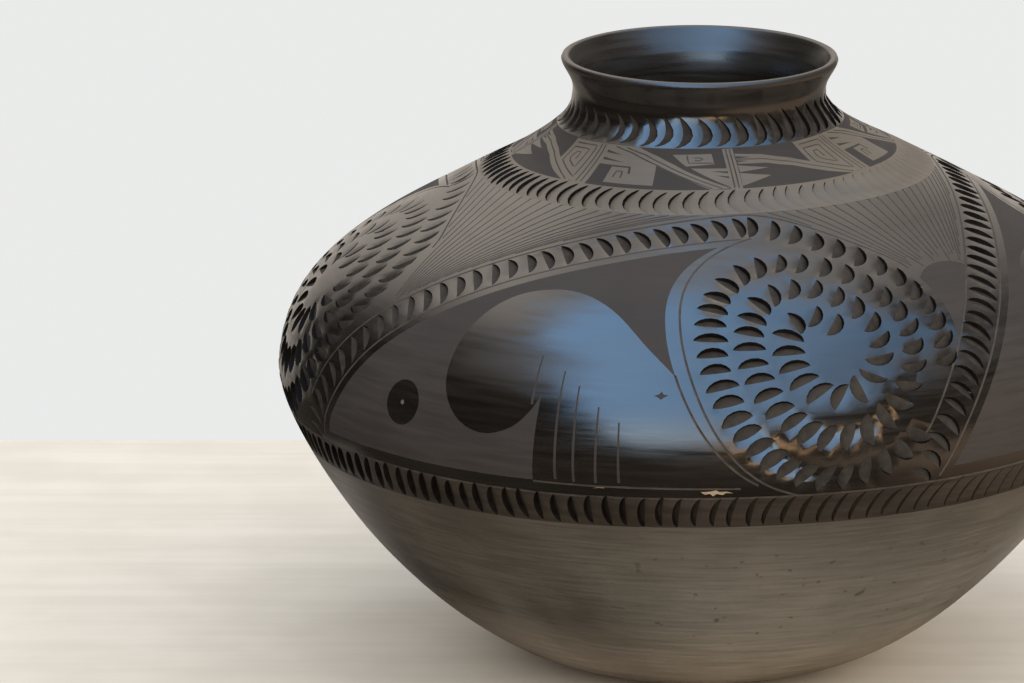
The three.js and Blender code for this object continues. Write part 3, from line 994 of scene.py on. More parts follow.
    def cut_at(self, az: float, s: float, heading: float, at: float, past: float,
               dice: random.Random) -> Gouge:
        """Shapes one cut: small at the foot of the arch, broad and bowed low in the spiral.

        Args:
            az: azimuth in degrees, from the middle of the unit.
            s: distance along the wall.
            heading: heading of the cut in radians.
            at: distance along the path.
            past: distance past the end of the arch.
            dice: source of the hand's small differences.

        Returns:
            The cut.
        """
        length, width, depth = self.arch_cut if past < 0 else self.cut
        least, grown = self.first_cut
        grow = min(1.0, least + at / grown)
        low = min(max((self.centre[1] - self.low_start - s) / self.low_run, 0.0), 1.0) if past > 0 else 0.0
        hand = self.hand
        return Gouge(
            az=float(wrap(math.radians(az + self.turn + dice.uniform(*hand.az)))),
            s=s + dice.uniform(*hand.s),
            heading=heading + math.radians(dice.uniform(*hand.heading)),
            length=length * grow * dice.uniform(*hand.length),
            width=width * dice.uniform(*hand.width) * (1 + self.low_width * low),
            depth=depth * dice.uniform(*hand.depth) * (1 + self.low_depth * low),
            ramp=self.ramp,
            bow=self.low_bow * low,
            heel=self.heel + self.low_heel * low,
        )

    def incise(self, relief: Relief, dice: random.Random) -> None:
        """Incises the borders of the arch and whorl and the fan of lines beside it.

        Args:
            relief: surface to cut.
            dice: source of the hand's small differences.
        """
        over = self.arch_path(self.line_offset)[self.line_skip:]
        self.line(relief, np.concatenate((over, self.border(self.line_offset, self.border_end)[1:])))
        lower, (right, foot) = self.arch_path(-self.line_offset), self.lower_line
        self.line(relief, lower[(lower[:, 0] < right) & (lower[:, 1] > foot)])
        self.line(relief, self.oval(self.ring, self.ring_span))
        outer = self.outer_arc()
        self.line(relief, outer[outer[:, 1] < self.outer_top])
        self.fan(relief, dice)

    def fan(self, relief: Relief, dice: random.Random) -> None:
        """Incises the fan of lines between the whorl and the next arch, with a matte wedge below it.

        Args:
            relief: surface to cut.
            dice: source of the hand's small differences.
        """
        near, far = self.fan_sides
        left = self.border(self.line_offset + near, self.fan_end)
        right = self.arch_path(self.line_offset + far) + np.array((self.next_turn, 0.0))
        focus = np.array((self.fan_focus,))
        first, last, foot = self.fan_foot
        fence = np.concatenate((left, right))
        odd, pair = self.fan_steps
        share = np.linspace(0, 1, self.ray_points)[:, None]
        for i, az in enumerate(np.linspace(first, last, self.fan_count)):
            points = self.above(focus) * (1 - share) + self.above(np.array(((az, foot),))) * share
            ray_az, s = self.wall.unflat(points / (points**2).sum(axis=1)[:, None])
            ray = np.stack((np.degrees(ray_az), s), axis=1)
            start = self.fan_start + odd * (i % 2) + pair * (i // 2 % 2) + dice.uniform(*self.fan_hand)
            clear = (self.apart(ray, fence) > self.clear) & (self.apart(ray, focus) > start)
            kept = ray[np.append(0, np.nonzero(~clear)[0] + 1)[-1]:]
            if len(kept) > self.least_ray:
                self.line(relief, kept, *self.fan_line)
        if self.fan_start >= self.least_wedge:
            self.wedge(relief, left, right)

    def wedge(self, relief: Relief, left: np.ndarray, right: np.ndarray) -> None:
        """Lays the matte wedge below the fan.

        Args:
            relief: surface to paint.
            left: border of the whorl.
            right: border of the next arch.
        """
        gap = self.apart(left, right)
        least, more = self.wedge_gap
        meet = int(np.argmax(gap < max(least, gap.min() + more)))
        focus = np.array((self.fan_focus,))
        low_side, low_other = (
            side[(self.apart(side, focus) < self.fan_start) | (side[:, 1] < focus[0, 1])]
            for side in (left[:meet + 1], right[right[:, 1] > left[meet, 1]]))
        ends = np.array((low_other[-1], low_side[0])) - focus
        scale = np.radians(1.0) * self.wall.at("r", focus[0, 1])
        angle = np.linspace(*np.arctan2(ends[:, 1], ends[:, 0] * scale), self.wedge_points)[1:-1]
        arc = focus + self.fan_start * np.stack((np.cos(angle) / scale, np.sin(angle)), axis=1)
        outline = np.concatenate((low_side, low_other, arc))
        relief.add_patch([(az + self.turn, s) for az, s in outline], Finish.MATTE)

    def above(self, path: np.ndarray) -> np.ndarray:
        """Returns a path in degrees and millimetres on a plane seen from above the mouth."""
        flat = self.wall.flat(np.radians(path[:, 0]), path[:, 1])
        return flat / (flat**2).sum(axis=1)[:, None]

    def apart(self, path: np.ndarray, fence: np.ndarray) -> np.ndarray:
        """Returns how far each point of a path is from the nearest point of another, in millimetres."""
        dx = np.radians(path[:, None, 0] - fence[None, :, 0]) * self.wall.at("r", path[:, 1])[:, None]
        return np.hypot(dx, path[:, None, 1] - fence[None, :, 1]).min(axis=1)

    def oval(self, radii: Spot, span: Spot) -> np.ndarray:
        """Returns an arc of an oval round the centre, between two angles in degrees."""
        angle = np.linspace(math.radians(span[0]), math.radians(span[1]), self.arc_points)
        return self.local(radii[0] * np.cos(angle), radii[1] * np.sin(angle))

    def outer_arc(self) -> np.ndarray:
        """Returns the outer edge of the burnished ring on the left of the whorl."""
        return self.oval(self.outer_ring, self.outer_span)


@dataclass(frozen=True)
class Panel:
    """The matte lens between arch and whorl, with its burnished lobe, dot and strokes."""

    lobe_foot: tuple[Spot, Spot] = ((6.0, 163.4), (-22.1, 163.4))
    lobe: tuple[Spot, ...] = (
        (-22.1, 193.5), (-23.2, 187.5), (-25.2, 181.6), (-28.4, 178.2), (-31.6, 179.6), (-34.2, 185.0),
        (-35.9, 193.5), (-36.4, 204.0), (-36.0, 215.0), (-34.6, 225.0), (-32.0, 232.5), (-28.6, 236.8),
        (-24.7, 238.5), (-21.2, 237.2), (-18.1, 233.8), (-15.2, 228.6), (-12.4, 221.4), (-9.8, 214.0),
        (-7.0, 206.5), (-1.0, 190.0))
    strokes: tuple[tuple[Spot, Spot], ...] = (
        ((-23.4, 208.0), (-23.1, 190.0)), ((-19.8, 203.0), (-19.2, 164.5)), ((-17.5, 198.0), (-16.9, 164.0)),
        ((-14.6, 191.0), (-14.2, 164.0)), ((-11.9, 186.0), (-11.4, 164.5)))
    stroke_width: float = 0.34
    stroke_taper: float = 0.6
    foot_line: tuple[Spot, ...] = ((-22.1, -0.5), (-8.0, -0.8), (3.0, -1.2))
    foot_reach: Spot = (1.0, 8.0)
    top_end: float = 6.0
    ring_below: float = 2.0
    dot: Spot = (-42.0, 183.5)
    dot_radii: Spot = (2.75, 8.0)
    dot_points: int = 24
    eye_radii: Spot = (0.32, 0.9)
    eye_stride: int = 4
    lobe_steps: int = 3

    def paint(self, relief: Relief, whorl: Whorl) -> None:
        """Paints the panel of one unit.

        Args:
            relief: surface to paint.
            whorl: unit whose arch and ring bound the panel.
        """
        self.ground(relief, whorl)
        lobe = (*self.lobe_foot, *rounded(self.lobe, self.lobe_steps))
        self.figure(relief, whorl, lobe, Finish.BURNISHED)
        angle = np.linspace(0, TURN, self.dot_points, endpoint=False)
        oval = np.stack((np.cos(angle), np.sin(angle)), axis=1)
        self.figure(relief, whorl, oval * self.dot_radii + self.dot, Finish.BURNISHED)
        # The pupil takes the pale painted-sheen tone.
        self.figure(relief, whorl, oval[::self.eye_stride] * self.eye_radii + self.dot, Finish.SATIN)
        whorl.line(relief, np.array([(az, whorl.panel_foot + rise) for az, rise in self.foot_line]))
        half = self.stroke_width / 2
        thin = half * self.stroke_taper
        for (az0, s0), (az1, s1) in self.strokes:
            stroke = ((az0 - thin, s0), (az1 - half, s1), (az1 + half, s1), (az0 + thin, s0))
            self.figure(relief, whorl, stroke, Finish.MATTE)

    def ground(self, relief: Relief, whorl: Whorl) -> None:
        """Lays the matte ground of the panel.

        Args:
            relief: surface to paint.
            whorl: unit whose arch and ring bound the panel.
        """
        top = whorl.arch_path(-whorl.panel_offset)
        top = top[(top[:, 1] > whorl.panel_foot) & (top[:, 0] < self.top_end)]
        ring = whorl.outer_arc()
        left, right = self.foot_reach
        whorl.edge(relief, top)
        whorl.edge(relief, ring[ring[:, 1] > whorl.panel_foot - self.ring_below])
        whorl.edge(relief, np.array(((top[0, 0] - left, whorl.panel_foot), (right, whorl.panel_foot))))

        def test(az: np.ndarray, s: np.ndarray) -> np.ndarray:
            """Tells which points lie on the matte ground.

            Args:
                az: azimuths in radians.
                s: distances along the wall.

            Returns:
                One truth value per point.
            """
            x, y = whorl.from_centre(az, s)
            clear = np.hypot(x / whorl.outer_ring[0], y / whorl.outer_ring[1]) > 1
            deg = np.degrees(wrap(az - math.radians(whorl.turn)))
            under = s < np.interp(deg, top[:, 0], top[:, 1], left=-1.0)
            return clear & under & (s > whorl.panel_foot) & (deg < whorl.centre[0]) & (x < 0)

        relief.paints.append((test, Finish.MATTE))

    @staticmethod
    def figure(relief: Relief, whorl: Whorl, polygon: Iterable[Spot], finish: Finish) -> None:
        """Paints one figure of the panel."""
        relief.add_patch([(az + whorl.turn, s) for az, s in polygon], finish)


@dataclass(frozen=True)
class Collar:
    """The painted collar below the neck: matte ground with burnished frets, bands and spikes."""

    foot: float = 298.0
    height: float = 22.0
    paint_inset: float = 0.02
    line_inset: float = 0.6
    groove: Triple = (0.55, 0.22, 2.0)
    burnished: tuple[tuple[Spot, ...], ...] = (
        ((-56.5, 21.5), (-38.5, 22.0), (-38.5, -1.0), (-43.5, -1.0), (-50.0, 4.0), (-56.5, 8.5)),
        ((-38.5, 22.0), (-26.0, 22.0), (-18.3, 17.5), (-18.3, 2.2), (-33.4, 2.2), (-33.4, 11.5),
         (-38.5, 11.5)),
        ((-26.0, 22.0), (-18.0, 18.0), (-12.5, 14.0), (-7.7, 9.8), (3.5, 0.6), (-2.0, -0.6), (-8.5, 6.0),
         (-18.3, 13.3), (-28.0, 19.0), (-35.0, 22.0)),
        ((-13.0, 19.0), (0.8, 19.3), (0.8, 14.0), (-8.5, 13.0)),
        ((-7.0, 12.0), (4.4, 11.6), (3.7, 1.0)),
        ((5.0, 21.5), (8.8, 21.5), (6.8, -0.5), (3.5, -0.5)),
        ((8.2, 13.0), (17.8, 10.8), (8.0, 9.3)),
        ((7.8, 8.8), (17.0, 6.5), (7.0, 1.5)),
        ((8.8, 19.0), (18.0, 18.0), (27.5, 14.5), (37.0, 8.5), (46.0, -0.5), (43.0, -0.5), (36.5, 3.5),
         (26.5, 10.2), (18.0, 13.3), (8.6, 13.8)),
    )
    matte: tuple[tuple[Spot, ...], ...] = (
        ((-38.3, 19.3), (-31.5, 17.5), (-38.3, 18.0)),
        ((-38.3, 15.6), (-29.5, 13.8), (-38.3, 14.2)),
        ((-38.3, 11.9), (-26.8, 11.9), (-26.2, 8.0), (-27.0, 8.0), (-27.4, 11.1), (-38.3, 11.1)),
        ((-1.0, 10.3), (4.3, 10.0), (4.2, 8.8)),
        ((0.2, 8.0), (4.1, 7.2), (4.0, 6.0)),
        ((8.8, 17.7), (14.0, 17.0), (8.8, 16.5)),
        ((8.7, 15.6), (12.5, 15.0), (8.7, 14.6)),
    )
    lines: tuple[tuple[Spot, ...], ...] = (
        ((-54.6, 19.8), (-44.0, 20.3), (-44.2, 2.5), (-54.6, 10.0), (-54.5, 17.6), (-46.6, 18.0),
         (-46.8, 7.4), (-52.0, 11.2), (-51.8, 15.4), (-49.2, 15.6), (-49.3, 11.8)),
        ((-42.0, 21.8), (-42.0, 0.2)), ((-40.3, 21.8), (-40.3, 0.2)),
        ((-31.2, 5.4), (-31.2, 9.0), (-28.8, 9.0), (-28.8, 5.4)),
        ((-35.6, 21.6), (-28.0, 19.0), (-18.3, 13.6), (-8.5, 6.3), (-1.6, 0.0)),
        ((-31.0, 21.6), (-23.0, 18.6), (-15.5, 13.8), (-8.0, 8.0), (1.2, 0.4)),
        ((-7.8, 18.8), (-7.8, 14.8), (0.6, 14.6)), ((-5.5, 17.4), (-2.6, 17.4), (-2.6, 16.0), (-5.4, 16.0)),
        ((6.2, 21.2), (4.6, 0.0)), ((7.6, 21.2), (5.8, 0.0)),
        ((9.0, 16.2), (18.0, 15.6), (27.0, 12.4), (36.8, 6.0), (44.0, 0.4)),
    )

    def paint(self, relief: Relief, turn: float) -> None:
        """Paints one quarter of the collar.

        Args:
            relief: surface to paint.
            turn: azimuth of the quarter in degrees.
        """
        # Burnished figures get the painted sheen: a pale colour in place of their reflection.
        for group, finish in ((self.burnished, Finish.SATIN), (self.matte, Finish.MATTE)):
            for polygon in group:
                az, h = np.array(polygon).T
                s = self.foot + np.clip(h, self.paint_inset, self.height)
                relief.add_patch(zip(az + turn, s), finish)
        for path in self.lines:
            az, h = np.array(path).T
            s = self.foot + np.clip(h, self.line_inset, self.height - self.line_inset)
            relief.add_groove(az + turn, s, *self.groove)

    def ground(self, relief: Relief) -> None:
        """Lays the matte ground of the collar.

        Args:
            relief: surface to paint.
        """
        top = self.foot + self.height
        for s in (self.foot, top):
            relief.add_ring(s)
        relief.add_zone(self.foot, top, Finish.MATTE)


class Graph:
    """Adds nodes to a node tree and links them."""

    def __init__(self, tree: bpy.types.NodeTree) -> None:
        """Keeps the nodes and links of the tree."""
        self.nodes, self.links = tree.nodes, tree.links

    def add(self, kind: str) -> bpy.types.Node:
        """Adds a node of a kind."""
        return self.nodes.new(f"ShaderNode{kind}")

    def feed(self, socket: Socket, value: Value) -> None:
        """Links an input to another node, or sets its value.

        Args:
            socket: the input.
            value: output of another node, number or colour.
        """
        if isinstance(value, Socket):
            self.links.new(value, socket)
        elif isinstance(value, tuple) and socket.type == "RGBA":
            socket.default_value = (*value, 1.0)
        else:
            socket.default_value = value

    def fill(self, kind: str, *values: Value) -> bpy.types.Node:
        """Adds a node and feeds its inputs in order.

        Args:
            kind: kind of node.
            values: what its inputs take.

        Returns:
            The new node.
        """
        node = self.add(kind)
        for socket, value in zip(node.inputs, values):
            self.feed(socket, value)
        return node

    def parts(self, vector: Value) -> bpy.types.bpy_prop_collection:
        """Returns the three parts of a vector."""
        return self.fill("SeparateXYZ", vector).outputs

    def maths(self, operation: str, *values: Value) -> Socket:
        """Does a sum on numbers or sockets.

        Args:
            operation: name of the sum.
            values: what goes into it.

        Returns:
            The result.
        """
        node = self.fill("Math", *values)
        node.operation = operation
        return node.outputs[0]

    def both(self, a: Value, b: Value) -> Socket:
        """Returns the product of two shares."""
        return self.maths("MULTIPLY", a, b)

    def total(self, *terms: tuple[Socket, float]) -> Socket:
        """Adds up sockets, each times its own number.

        Args:
            terms: sockets and their numbers.

        Returns:
            The sum.
        """
        result: Value = 0.0
        for socket, scale in terms:
            result = self.maths("MULTIPLY_ADD", socket, scale, result)
        return result

    def step(self, value: Value, low: float, high: float, bottom: float = 0.0, top: float = 1.0) -> Socket:
        """Steps smoothly from one value to another.

        Args:
            value: what the step depends on.
            low: where the step starts.
            high: where it ends, which may be below the start.
            bottom: result at the start.
            top: result at the end.

        Returns:
            The result.
        """
        node = self.fill("MapRange", value, low, high, bottom, top)
        node.interpolation_type = "SMOOTHSTEP"
        return node.outputs["Result"]

    def mix(self, share: Value, a: Value, b: Value) -> Socket:
        """Returns a blend of two colours."""
        return self.fill("MixRGB", share, a, b).outputs["Color"]

    def noise(self, where: Value, scale: float, detail: float, rough: float = 0.5) -> Socket:
        """Makes a noise.

        Args:
            where: place in it.
            scale: how fine it is.
            detail: number of finer layers.
            rough: strength of the finer layers.

        Returns:
            A value between 0 and 1.
        """
        node = self.add("TexNoise")
        for name, value in (("Vector", where), ("Scale", scale), ("Detail", detail), ("Roughness", rough)):
            self.feed(node.inputs[name], value)
        return node.outputs["Fac"]

    def bump(self, height: Value, strength: float, reach: float, normal: Value | None = None) -> Socket:
        """Bends a normal.

        Args:
            height: height of the surface.
            strength: share of the bend.
            reach: height in metres that a height of 1 stands for.
            normal: normal to bend, if not the plain one.

        Returns:
            The bent normal.
        """
        node = self.add("Bump")
        for name, value in (("Strength", strength), ("Distance", reach), ("Height", height)):
            self.feed(node.inputs[name], value)
        if normal is not None:
            self.feed(node.inputs["Normal"], normal)
        return node.outputs["Normal"]


STREAK_NOISE = (1.0, 5.0, 0.62)
MOTTLE_NOISE = (22.0, 3.0)
TONE_SHARES = (0.55, 0.45)
TONE_SPAN = (0.36, 0.64)
ROUGH_SPAN = (0.34, 0.66)
GRAIN_DETAIL = 4.0
STREAK_HEIGHT = 0.0004
GRAIN_HEIGHT = 0.0003
DRIFT_NOISE = (9.0, 4.0)
DRIFT_SHARES = (10.0, 2.2)
DRIFT_SPAN = (0.3, 1.1)
PIT_NOISE = (240.0, 1.0)
PIT_STEP = (0.70, 0.76, 1.0, 0.2)


@dataclass(frozen=True)
class ClayFinish:
    """Look of one clay surface: colours, gloss, burnishing streaks and grain."""

    name: str
    dark: Colour
    light: Colour
    rough: Spot
    ior: float
    streak: float
    streak_scale: Triple
    grain: float
    grain_scale: float
    specular: float = 0.5
    # Paler colours below the belly: partly fire cloud, partly painted light from the right and from the
    # table.
    cloud_and_painted_light: tuple[Colour, Colour] | None = None
    cloud_and_painted_light_top: Spot = (0.104, 0.040)
    # Paler, warmer colours near the resting face and the heights over which they come in: painted light
    # bounced up from the table.
    painted_bounce: tuple[Colour, Colour] | None = None
    painted_bounce_top: Spot = (0.046, 0.007)

    def material(self) -> bpy.types.Material:
        """Builds the node material.

        Returns:
            The new material.
        """
        made = bpy.data.materials.new(self.name)
        made.use_nodes = True
        graph = Graph(made.node_tree)
        shader = graph.nodes["Principled BSDF"]
        shader.inputs["IOR"].default_value = self.ior
        shader.inputs["Specular IOR Level"].default_value = self.specular
        place = graph.add("TexCoord").outputs["Object"]
        stretch = graph.add("Mapping")
        stretch.inputs["Scale"].default_value = self.streak_scale
        graph.feed(stretch.inputs["Vector"], place)
        streaks = graph.noise(stretch.outputs["Vector"], *STREAK_NOISE)
        mottle = graph.noise(place, *MOTTLE_NOISE)
        tone = graph.step(graph.total(*zip((streaks, mottle), TONE_SHARES)), *TONE_SPAN)
        colour = graph.mix(tone, self.dark, self.light)
        # Paler patch below the belly: partly fire cloud, partly painted light.
        if self.cloud_and_painted_light:
            colour = graph.mix(self.cloud_and_painted_light_share(graph, place), colour, graph.mix(tone, *self.cloud_and_painted_light))
        # Paints the bottom paler and warmer: painted bounce light from the table.
        if self.painted_bounce:
            foot = graph.step(graph.parts(place)["Z"], *self.painted_bounce_top)
            colour = graph.mix(foot, colour, graph.mix(tone, *self.painted_bounce))
        graph.feed(shader.inputs["Base Color"], colour)
        graph.feed(shader.inputs["Roughness"], graph.step(streaks, *ROUGH_SPAN, *self.rough))
        grain = graph.noise(place, self.grain_scale, GRAIN_DETAIL)
        strokes = graph.bump(streaks, self.streak, STREAK_HEIGHT)
        graph.feed(shader.inputs["Normal"], graph.bump(grain, self.grain, GRAIN_HEIGHT, strokes))
        return made

    def cloud_and_painted_light_share(self, graph: Graph, place: Socket) -> Socket:
        """Says where the clay is painted paler below the belly: partly a fire cloud broken by dark pits,
        partly painted light, paler to the right where the light falls and towards the base where the table
        bounces light.

        Args:
            graph: node tree of the material.
            place: point on the jar.

        Returns:
            A share from 0 to 1.
        """
        parts = graph.parts(place)
        # Paler towards the right: painted light from the side the light comes from.
        drift = graph.total(*zip((parts["X"], graph.noise(place, *DRIFT_NOISE)), DRIFT_SHARES))
        # Paler downwards: partly fire cloud, partly painted bounce light from the table.
        under = graph.step(parts["Z"], *self.cloud_and_painted_light_top)
        pits = graph.step(graph.noise(place, *PIT_NOISE), *PIT_STEP)
        return graph.both(graph.both(graph.step(drift, *DRIFT_SPAN), under), pits)


STREAKS = (26.0, 26.0, 420.0)
FINE_STREAKS = (34.0, 34.0, 900.0)
FINE = (300.0, 300.0, 300.0)
CLAY = {
    Finish.SMOKED: ClayFinish(
        "smoked_clay", (0.060, 0.053, 0.043), (0.094, 0.084, 0.068),
        rough=(0.38, 0.5), ior=1.6, streak=0.08, streak_scale=FINE_STREAKS, grain=0.14, grain_scale=900,
        # Paler colours below the belly: partly fire cloud, partly painted light.
        cloud_and_painted_light=((0.150, 0.141, 0.121), (0.215, 0.203, 0.175)),
        # Painted bounce light from the table at the base.
        painted_bounce=((0.27, 0.23, 0.185), (0.40, 0.345, 0.28))),
    Finish.BURNISHED: ClayFinish(
        "burnished_clay", (0.0044, 0.0036, 0.0028), (0.0096, 0.008, 0.0064),
        rough=(0.14, 0.26), ior=2.3, streak=0.06, streak_scale=STREAKS, grain=0.03, grain_scale=900),
    Finish.MATTE: ClayFinish(
        "matte_slip", (0.034, 0.029, 0.027), (0.046, 0.040, 0.037),
        rough=(0.62, 0.8), ior=1.45, streak=0.06, streak_scale=STREAKS, grain=0.12, grain_scale=1500),
    Finish.CUT: ClayFinish(
        "cut_clay", (0.027, 0.0245, 0.023), (0.052, 0.048, 0.0445),
        rough=(0.6, 0.8), ior=1.5, streak=0.1, streak_scale=FINE, grain=0.25, grain_scale=1400,
        specular=0.09),
    Finish.LINE: ClayFinish(
        "incised_clay", (0.040, 0.034, 0.030), (0.075, 0.064, 0.055),
        rough=(0.6, 0.8), ior=1.45, streak=0.1, streak_scale=FINE, grain=0.2, grain_scale=1500),
    Finish.CHIP: ClayFinish(
        "bare_clay", (0.22, 0.17, 0.11), (0.42, 0.34, 0.24),
        rough=(0.7, 0.9), ior=1.45, streak=0.1, streak_scale=FINE, grain=0.3, grain_scale=1500),
    Finish.INSIDE: ClayFinish(
        "inner_clay", (0.006, 0.005, 0.0045), (0.015, 0.013, 0.011),
        rough=(0.26, 0.38), ior=2.15, streak=0.14, streak_scale=STREAKS, grain=0.08, grain_scale=900),
    # Painted shadow on the steep cut walls, darker than the cut floors of the same clay.
    Finish.EDGE: ClayFinish(
        "cut_wall_shadow", (0.005, 0.004, 0.004), (0.012, 0.010, 0.009),
        rough=(0.45, 0.6), ior=1.5, streak=0.1, streak_scale=FINE, grain=0.2, grain_scale=1400,
        specular=0.1),
    # Painted shade in the deep floors of the belly-band cuts.
    Finish.SLIT: ClayFinish(
        "belly_slit_shade", (0.0155, 0.0124, 0.0097), (0.0255, 0.0208, 0.0164),
        rough=(0.5, 0.65), ior=1.5, streak=0.1, streak_scale=FINE, grain=0.2, grain_scale=1400,
        specular=0.1),
    Finish.BELT: ClayFinish(
        "sooty_clay", (0.0285, 0.023, 0.0182), (0.048, 0.0394, 0.0314),
        rough=(0.42, 0.56), ior=1.55, streak=0.12, streak_scale=STREAKS, grain=0.12, grain_scale=900,
        specular=0.2),
    # Painted sheen: a pale brown colour standing in for the reflection on burnished figures.
    Finish.SATIN: ClayFinish(
        "painted_sheen_clay", (0.108, 0.095, 0.077), (0.142, 0.125, 0.102),
        rough=(0.42, 0.54), ior=1.6, streak=0.06, streak_scale=STREAKS, grain=0.06, grain_scale=900),
}


@dataclass
class Coil:
    """One coil of the jar: a ring of carved skin closed by luted seams and its inner face."""

    name: str
    start: float
    end: float
    slot: str
    inner_step: float = 12.0
    bevel: float = 3.5
    ring_count: int = 144
    lip_inset: float = 0.4

    def rings(self, wall: Wall, az: np.ndarray) -> list[np.ndarray]:
        """Lays out the inner face.

        Args:
            wall: wall of the jar.
            az: azimuths of the points of a ring.

        Returns:
            Rings of points from the upper seam down to the lower one.
        """
        top = wall.length - self.lip_inset if self.end >= wall.length else self.end + self.bevel
        low = 0.0 if self.start < 0 else self.start + self.bevel
        count = max(2, int(round((top - low) / self.inner_step)) + 1)
        return [wall.behind(az, s) for s in np.linspace(top, low, count)]

    def closing(self, skin: Skin, used: np.ndarray,
                border: np.ndarray) -> tuple[np.ndarray, np.ndarray, np.ndarray]:
        """Closes the coil behind its outer face with its seams and inner face.

        Args:
            skin: carved outer face of the whole jar.
            used: vertices of the skin that the coil has.
            border: numbers among these of the vertices on open edges.

        Returns:
            The new points, the new triangles and the smoothing group of each.
        """
        s, az = skin.s[used], skin.az[used]
        over = s[border] > (self.start + self.end) / 2
        upper, lower = (side[np.argsort(az[side])] for side in (border[over], border[~over]))
        ring_az = -math.pi + (np.arange(self.ring_count) + 0.5) * TURN / self.ring_count
        points = self.rings(skin.wall, ring_az)
        loops = [(upper, az[upper])]
        grounds = [Ground.SEAM] + [Ground.INNER] * (len(points) - 1)
        total = len(used)
        for ring in points:
            loops.append((np.arange(total, total + len(ring)), ring_az))
            total += len(ring)
        if len(lower):
            loops.append((lower, az[lower]))
            grounds.append(Ground.SEAM)
        else:
            points.append(np.array([[0.0, 0.0, skin.wall.thickness[0][1]]]))
            loops.append((np.array([total]), np.array([-math.pi])))
            grounds.append(Ground.INNER)
        if self.end >= skin.wall.length:
            grounds[0] = Ground.INNER
        tris, marks = [], []
        for a, b, ground in zip(loops, loops[1:], grounds):
            strip = zipper(*a, *b)
            tris += strip
            marks += [ground] * len(strip)
        return np.concatenate(points), np.array(tris), np.array(marks)

    def build(self, skin: Skin, materials: list[bpy.types.Material]) -> bpy.types.Object:
        """Makes the closed mesh of the coil.

        Args:
            skin: carved outer face of the whole jar.
            materials: materials in the order of the finishes.

        Returns:
            The new object.
        """
        chosen = np.nonzero((skin.middle_s > self.start) & (skin.middle_s < self.end))[0]
        used, local = np.unique(skin.tris[chosen], return_inverse=True)
        local = local.reshape(-1, 3)
        points, extra, marks = self.closing(skin, used, self.border(local))
        positions = np.concatenate((skin.points[used], points))
        faces = np.concatenate((local, extra))
        mesh = bpy.data.meshes.new(self.name)
        mesh.from_pydata((positions * MM).tolist(), [], faces.tolist())
        for material in materials:
            mesh.materials.append(material)
        finish = np.concatenate((skin.finishes[chosen], np.full(len(extra), Finish.INSIDE)))
        mesh.polygons.foreach_set("material_index", finish.astype(np.int32))
        mesh.polygons.foreach_set("use_smooth", np.ones(len(faces), dtype=bool))
        normals = np.concatenate((skin.normals[chosen], shade(extra, positions, marks)))
        mesh.normals_split_custom_set(normals.reshape(-1, 3).tolist())
        made = bpy.data.objects.new(self.name + "_skin", mesh)
        bpy.context.scene.collection.objects.link(made)
        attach(made, "root")
        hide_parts(self.name)
        return made

    @staticmethod
    def border(tris: np.ndarray) -> np.ndarray:
        """Finds the open edges of a triangle patch.

        Args:
            tris: rows of three vertex numbers.

        Returns:
            The vertices on them.
        """
        edges = np.sort(np.concatenate((tris[:, [0, 1]], tris[:, [1, 2]], tris[:, [2, 0]])), axis=1)
        pairs, times = np.unique(edges, axis=0, return_counts=True)
        return np.unique(pairs[times == 1])


def zipper(a: np.ndarray, a_az: np.ndarray, b: np.ndarray, b_az: np.ndarray) -> list[tuple[int, int, int]]:
    """Joins two rings of vertices that are sorted by azimuth.

    Args:
        a: vertex numbers of the first ring.
        a_az: their azimuths.
        b: vertex numbers of the second ring, or of one point.
        b_az: their azimuths.

    Returns:
        Triangles that run round once.
    """
    tris, i, j, n, m = [], 0, 0, len(a), len(b)
    if m == 1:
        return [(int(a[k]), int(a[(k + 1) % n]), int(b[0])) for k in range(n)]
    while i < n or j < m:
        next_a = a_az[(i + 1) % n] + TURN * ((i + 1) // n) if i < n else math.inf
        next_b = b_az[(j + 1) % m] + TURN * ((j + 1) // m) if j < m else math.inf
        if next_a <= next_b:
            tris.append((int(a[i % n]), int(a[(i + 1) % n]), int(b[j % m])))
            i += 1
        else:
            tris.append((int(a[i % n]), int(b[(j + 1) % m]), int(b[j % m])))
            j += 1
    return tris


COILS = (
    Coil("base_slab", -60.0, 40.0, "smoked_clay"),
    Coil("lower_coil", 40.0, 91.4, "smoked_clay"),
    Coil("under_belly_coil", 91.4, 142.8, "smoked_clay"),
    Coil("belly_coil", 142.8, 189.3, "carved_clay"),
    Coil("panel_coil", 189.3, 235.8, "carved_clay"),
    Coil("shoulder_coil", 235.8, 282.2, "carved_clay"),
    Coil("collar_coil", 282.2, 319.3, "carved_clay", inner_step=4.0),
    Coil("neck_coil", 319.3, 333.7, "carved_clay", inner_step=1.8),
    Coil("rim_coil", 333.7, 360.0, "burnished_clay", inner_step=1.8),
)


